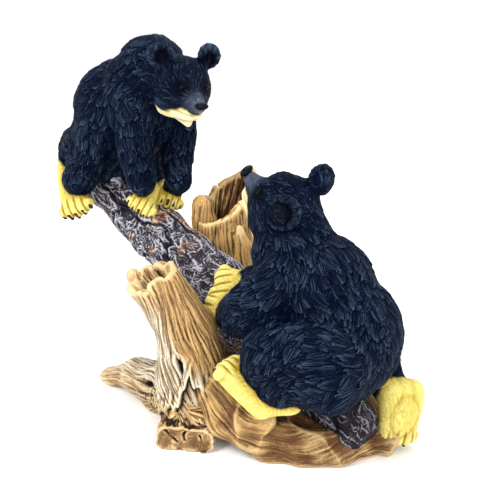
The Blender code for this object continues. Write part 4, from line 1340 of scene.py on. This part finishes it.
def wood_material():
    """Bare wood: cream ridges, golden and brown flanks, and thin dark grooves."""
    paint = Paint("painted_wood", 0.50, 0.15)
    gold, brown, dark, _ = paint.channels("mask")
    fine, broad, tone, _ = paint.channels("form")
    grain = paint.noise("comb", (1800, 50, 1), 3)
    blotch = paint.noise("object", (75, 75, 75), 3)
    height = paint.total((fine, 0.85), (broad, 0.45), (grain, 0.40), (blotch, 0.40), (tone, 0.12))
    groove = paint.mix(paint.step(height, 0.62, 0.98), (0.018, 0.008, 0.002), (0.215, 0.130, 0.060))
    cream = paint.mix(paint.step(height, 0.98, 1.46), groove, (0.670, 0.620, 0.470))
    golden = paint.mix(paint.step(height, 0.90, 1.36), groove, (0.600, 0.360, 0.125))
    crest = paint.step(height, 1.40, 1.62)
    golden = paint.mix(crest, golden, (0.840, 0.620, 0.320))
    chestnut = paint.mix(paint.step(height, 0.70, 1.10), (0.008, 0.003, 0.001), (0.120, 0.048, 0.014))
    chestnut = paint.mix(paint.step(height, 1.05, 1.50), chestnut, (0.540, 0.370, 0.170))
    colour = paint.mix(gold, cream, golden)
    colour = paint.mix(brown, colour, chestnut)
    # Painted shadow under the torn bark, and painted shade in the knot holes and the cut end's cracks
    colour = paint.mix(dark, colour, (0.008, 0.003, 0.002))
    paint.bump(grain, 0.0010, 0.8)
    return paint.finish(colour)


def glossy_material(name, low, high, roughness, specular):
    """Glossy paint with a slight mottle: eyes, noses and claws."""
    paint = Paint(name, roughness, specular)
    mottle = paint.noise("object", (500, 500, 500), 2)
    paint.bump(mottle, 0.0002, 0.3)
    return paint.finish(paint.mix(mottle, low, high))


def floor_material():
    paint = Paint("pale_floor", 0.8, 0.1)
    mottle = paint.noise("object", (3, 3, 3), 1)
    return paint.finish(paint.mix(mottle, (0.96, 0.96, 0.96), (0.98, 0.98, 0.98)))


FUR_MATERIAL = fur_material()
BARK_MATERIAL = bark_material()
WOOD_MATERIAL = wood_material()


def bears():
    black = glossy_material("nose_gloss", (0.001, 0.001, 0.002), (0.005, 0.005, 0.007), 0.30, 0.08)
    eye = glossy_material("eye_gloss", (0.001, 0.001, 0.002), (0.004, 0.004, 0.006), 0.20, 0.06)
    claw = glossy_material("brown_claws", (0.025, 0.010, 0.005), (0.085, 0.036, 0.016), 0.40, 0.10)
    for name, (soft, crisp), seed in (("upper_bear", upper_bear(), 11), ("lower_bear", lower_bear(), 17)):
        bear_piece(name, soft, crisp, seed)
        small_piece(name + "_nose", of_kind(crisp, NOSE), 0.0002, black)
        small_piece(name + "_eyes", of_kind(crisp, EYE), 0.00015, eye)
        small_piece(name + "_claws", of_kind(crisp, CLAW), 0.0002, claw)


def front_tint(points, normals):
    """Golden at the rim and low down, orange-brown on the right flank, and chestnut on the foot."""
    top = step(points[:, 2], 0.060, 0.074)
    low = 1 - step(points[:, 2], 0.010, 0.026)
    flank = step(points[:, 0] + 0.8 * (points[:, 2] - 0.045), 0.006, 0.015)
    flank *= step(points[:, 2], 0.028, 0.042)
    gold = np.maximum.reduce([0.8 * top, 0.6 * low, flank])
    foot = (1 - step(points[:, 2], 0.016, 0.026)) * step(-points[:, 1], 0.044, 0.050)
    return gold, np.maximum.reduce([0.75 * foot, 0.45 * flank, 0.45 * top])


def back_tint(points, normals):
    """Golden outside, and chestnut on the inside of its hollow."""
    offset = (points - np.array(BACK_CENTRE))[:, :2]
    inward = -dot(offset, normals[:, :2]) / np.linalg.norm(offset, axis=1)
    inside = step(inward, -0.2, 0.3) * step(points[:, 2], 0.060, 0.080)
    return np.ones(len(points)), inside


def bank_tint(points, normals):
    low = 1 - step(points[:, 2], 0.004, 0.016)
    brown = np.maximum(low, step(waves(points, 0.018, 54), -0.5, 0.3))
    return np.ones(len(points)), 0.50 + 0.45 * brown


def wood():
    front, back = trunks()
    front_roots, back_roots, banks = base_lumps()
    knob, chunk, splinter = splinter_lumps(front[0], back[0])
    wood_piece("front_stump", front_roots, front_tint, 41, FRONT_TRIANGLES, front, [knob], ROOT_END)
    wood_piece("back_stump", back_roots, back_tint, 43, BACK_TRIANGLES, back, [chunk, splinter])
    wood_piece("bank", banks, bank_tint, 47, BANK_TRIANGLES, gnarl=0.0016)


# Studio


def aimed(name, data, place, way):
    """Puts a lamp or a camera in the scene, looking against the given way."""
    thing = bpy.data.objects.new(name, data)
    thing.location = place
    thing.rotation_euler = way.to_track_quat("Z", "Y").to_euler()
    bpy.context.collection.objects.link(thing)
    return thing


def camera():
    """The photograph's view: from the near side, a little above and to the right."""
    level = math.cos(ELEVATION)
    back = Vector((math.sin(AZIMUTH) * level, -math.cos(AZIMUTH) * level, math.sin(ELEVATION)))
    lens = bpy.data.cameras.new("camera")
    lens.sensor_width = SENSOR_WIDTH
    lens.lens = LENS
    lens.clip_start = 0.01
    eye = aimed("camera", lens, Vector(CAMERA_TARGET) + back * CAMERA_DISTANCE, back)
    bpy.context.scene.camera = eye


def soft_light(name, place, size, power, target=(0, 0, 0.08)):
    lamp = bpy.data.lights.new(name, "AREA")
    lamp.size = size
    lamp.energy = power
    aimed(name, lamp, place, Vector(place) - Vector(target))


def studio():
    work = bmesh.new()
    bmesh.ops.create_grid(work, x_segments=8, y_segments=8, size=60)
    floor = bpy.data.objects.new("floor", new_mesh(work, "floor"))
    floor.data.materials.append(floor_material())
    floor.location = (0, 0, -0.0002)
    bpy.context.collection.objects.link(floor)
    floor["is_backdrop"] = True
    world = bpy.data.worlds.new("studio")
    world.use_nodes = True
    colour, strength = world.node_tree.nodes["Background"].inputs[:2]
    colour.default_value, strength.default_value = (1.0, 1.0, 1.0, 1), 1.04
    bpy.context.scene.world = world
    soft_light("key", (-0.15, -0.85, 0.85), 0.4, 9)
    soft_light("side", (0.95, -0.25, 0.50), 0.4, 5)
    soft_light("top", (-0.10, 0.30, 1.0), 0.6, 5)
    bpy.context.scene.view_settings.view_transform = "Standard"


bears()
log_piece()
wood()
studio()
camera()

corners = [[list(map(float, corner)) for corner in box] for box in (CAD_BOX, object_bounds())]
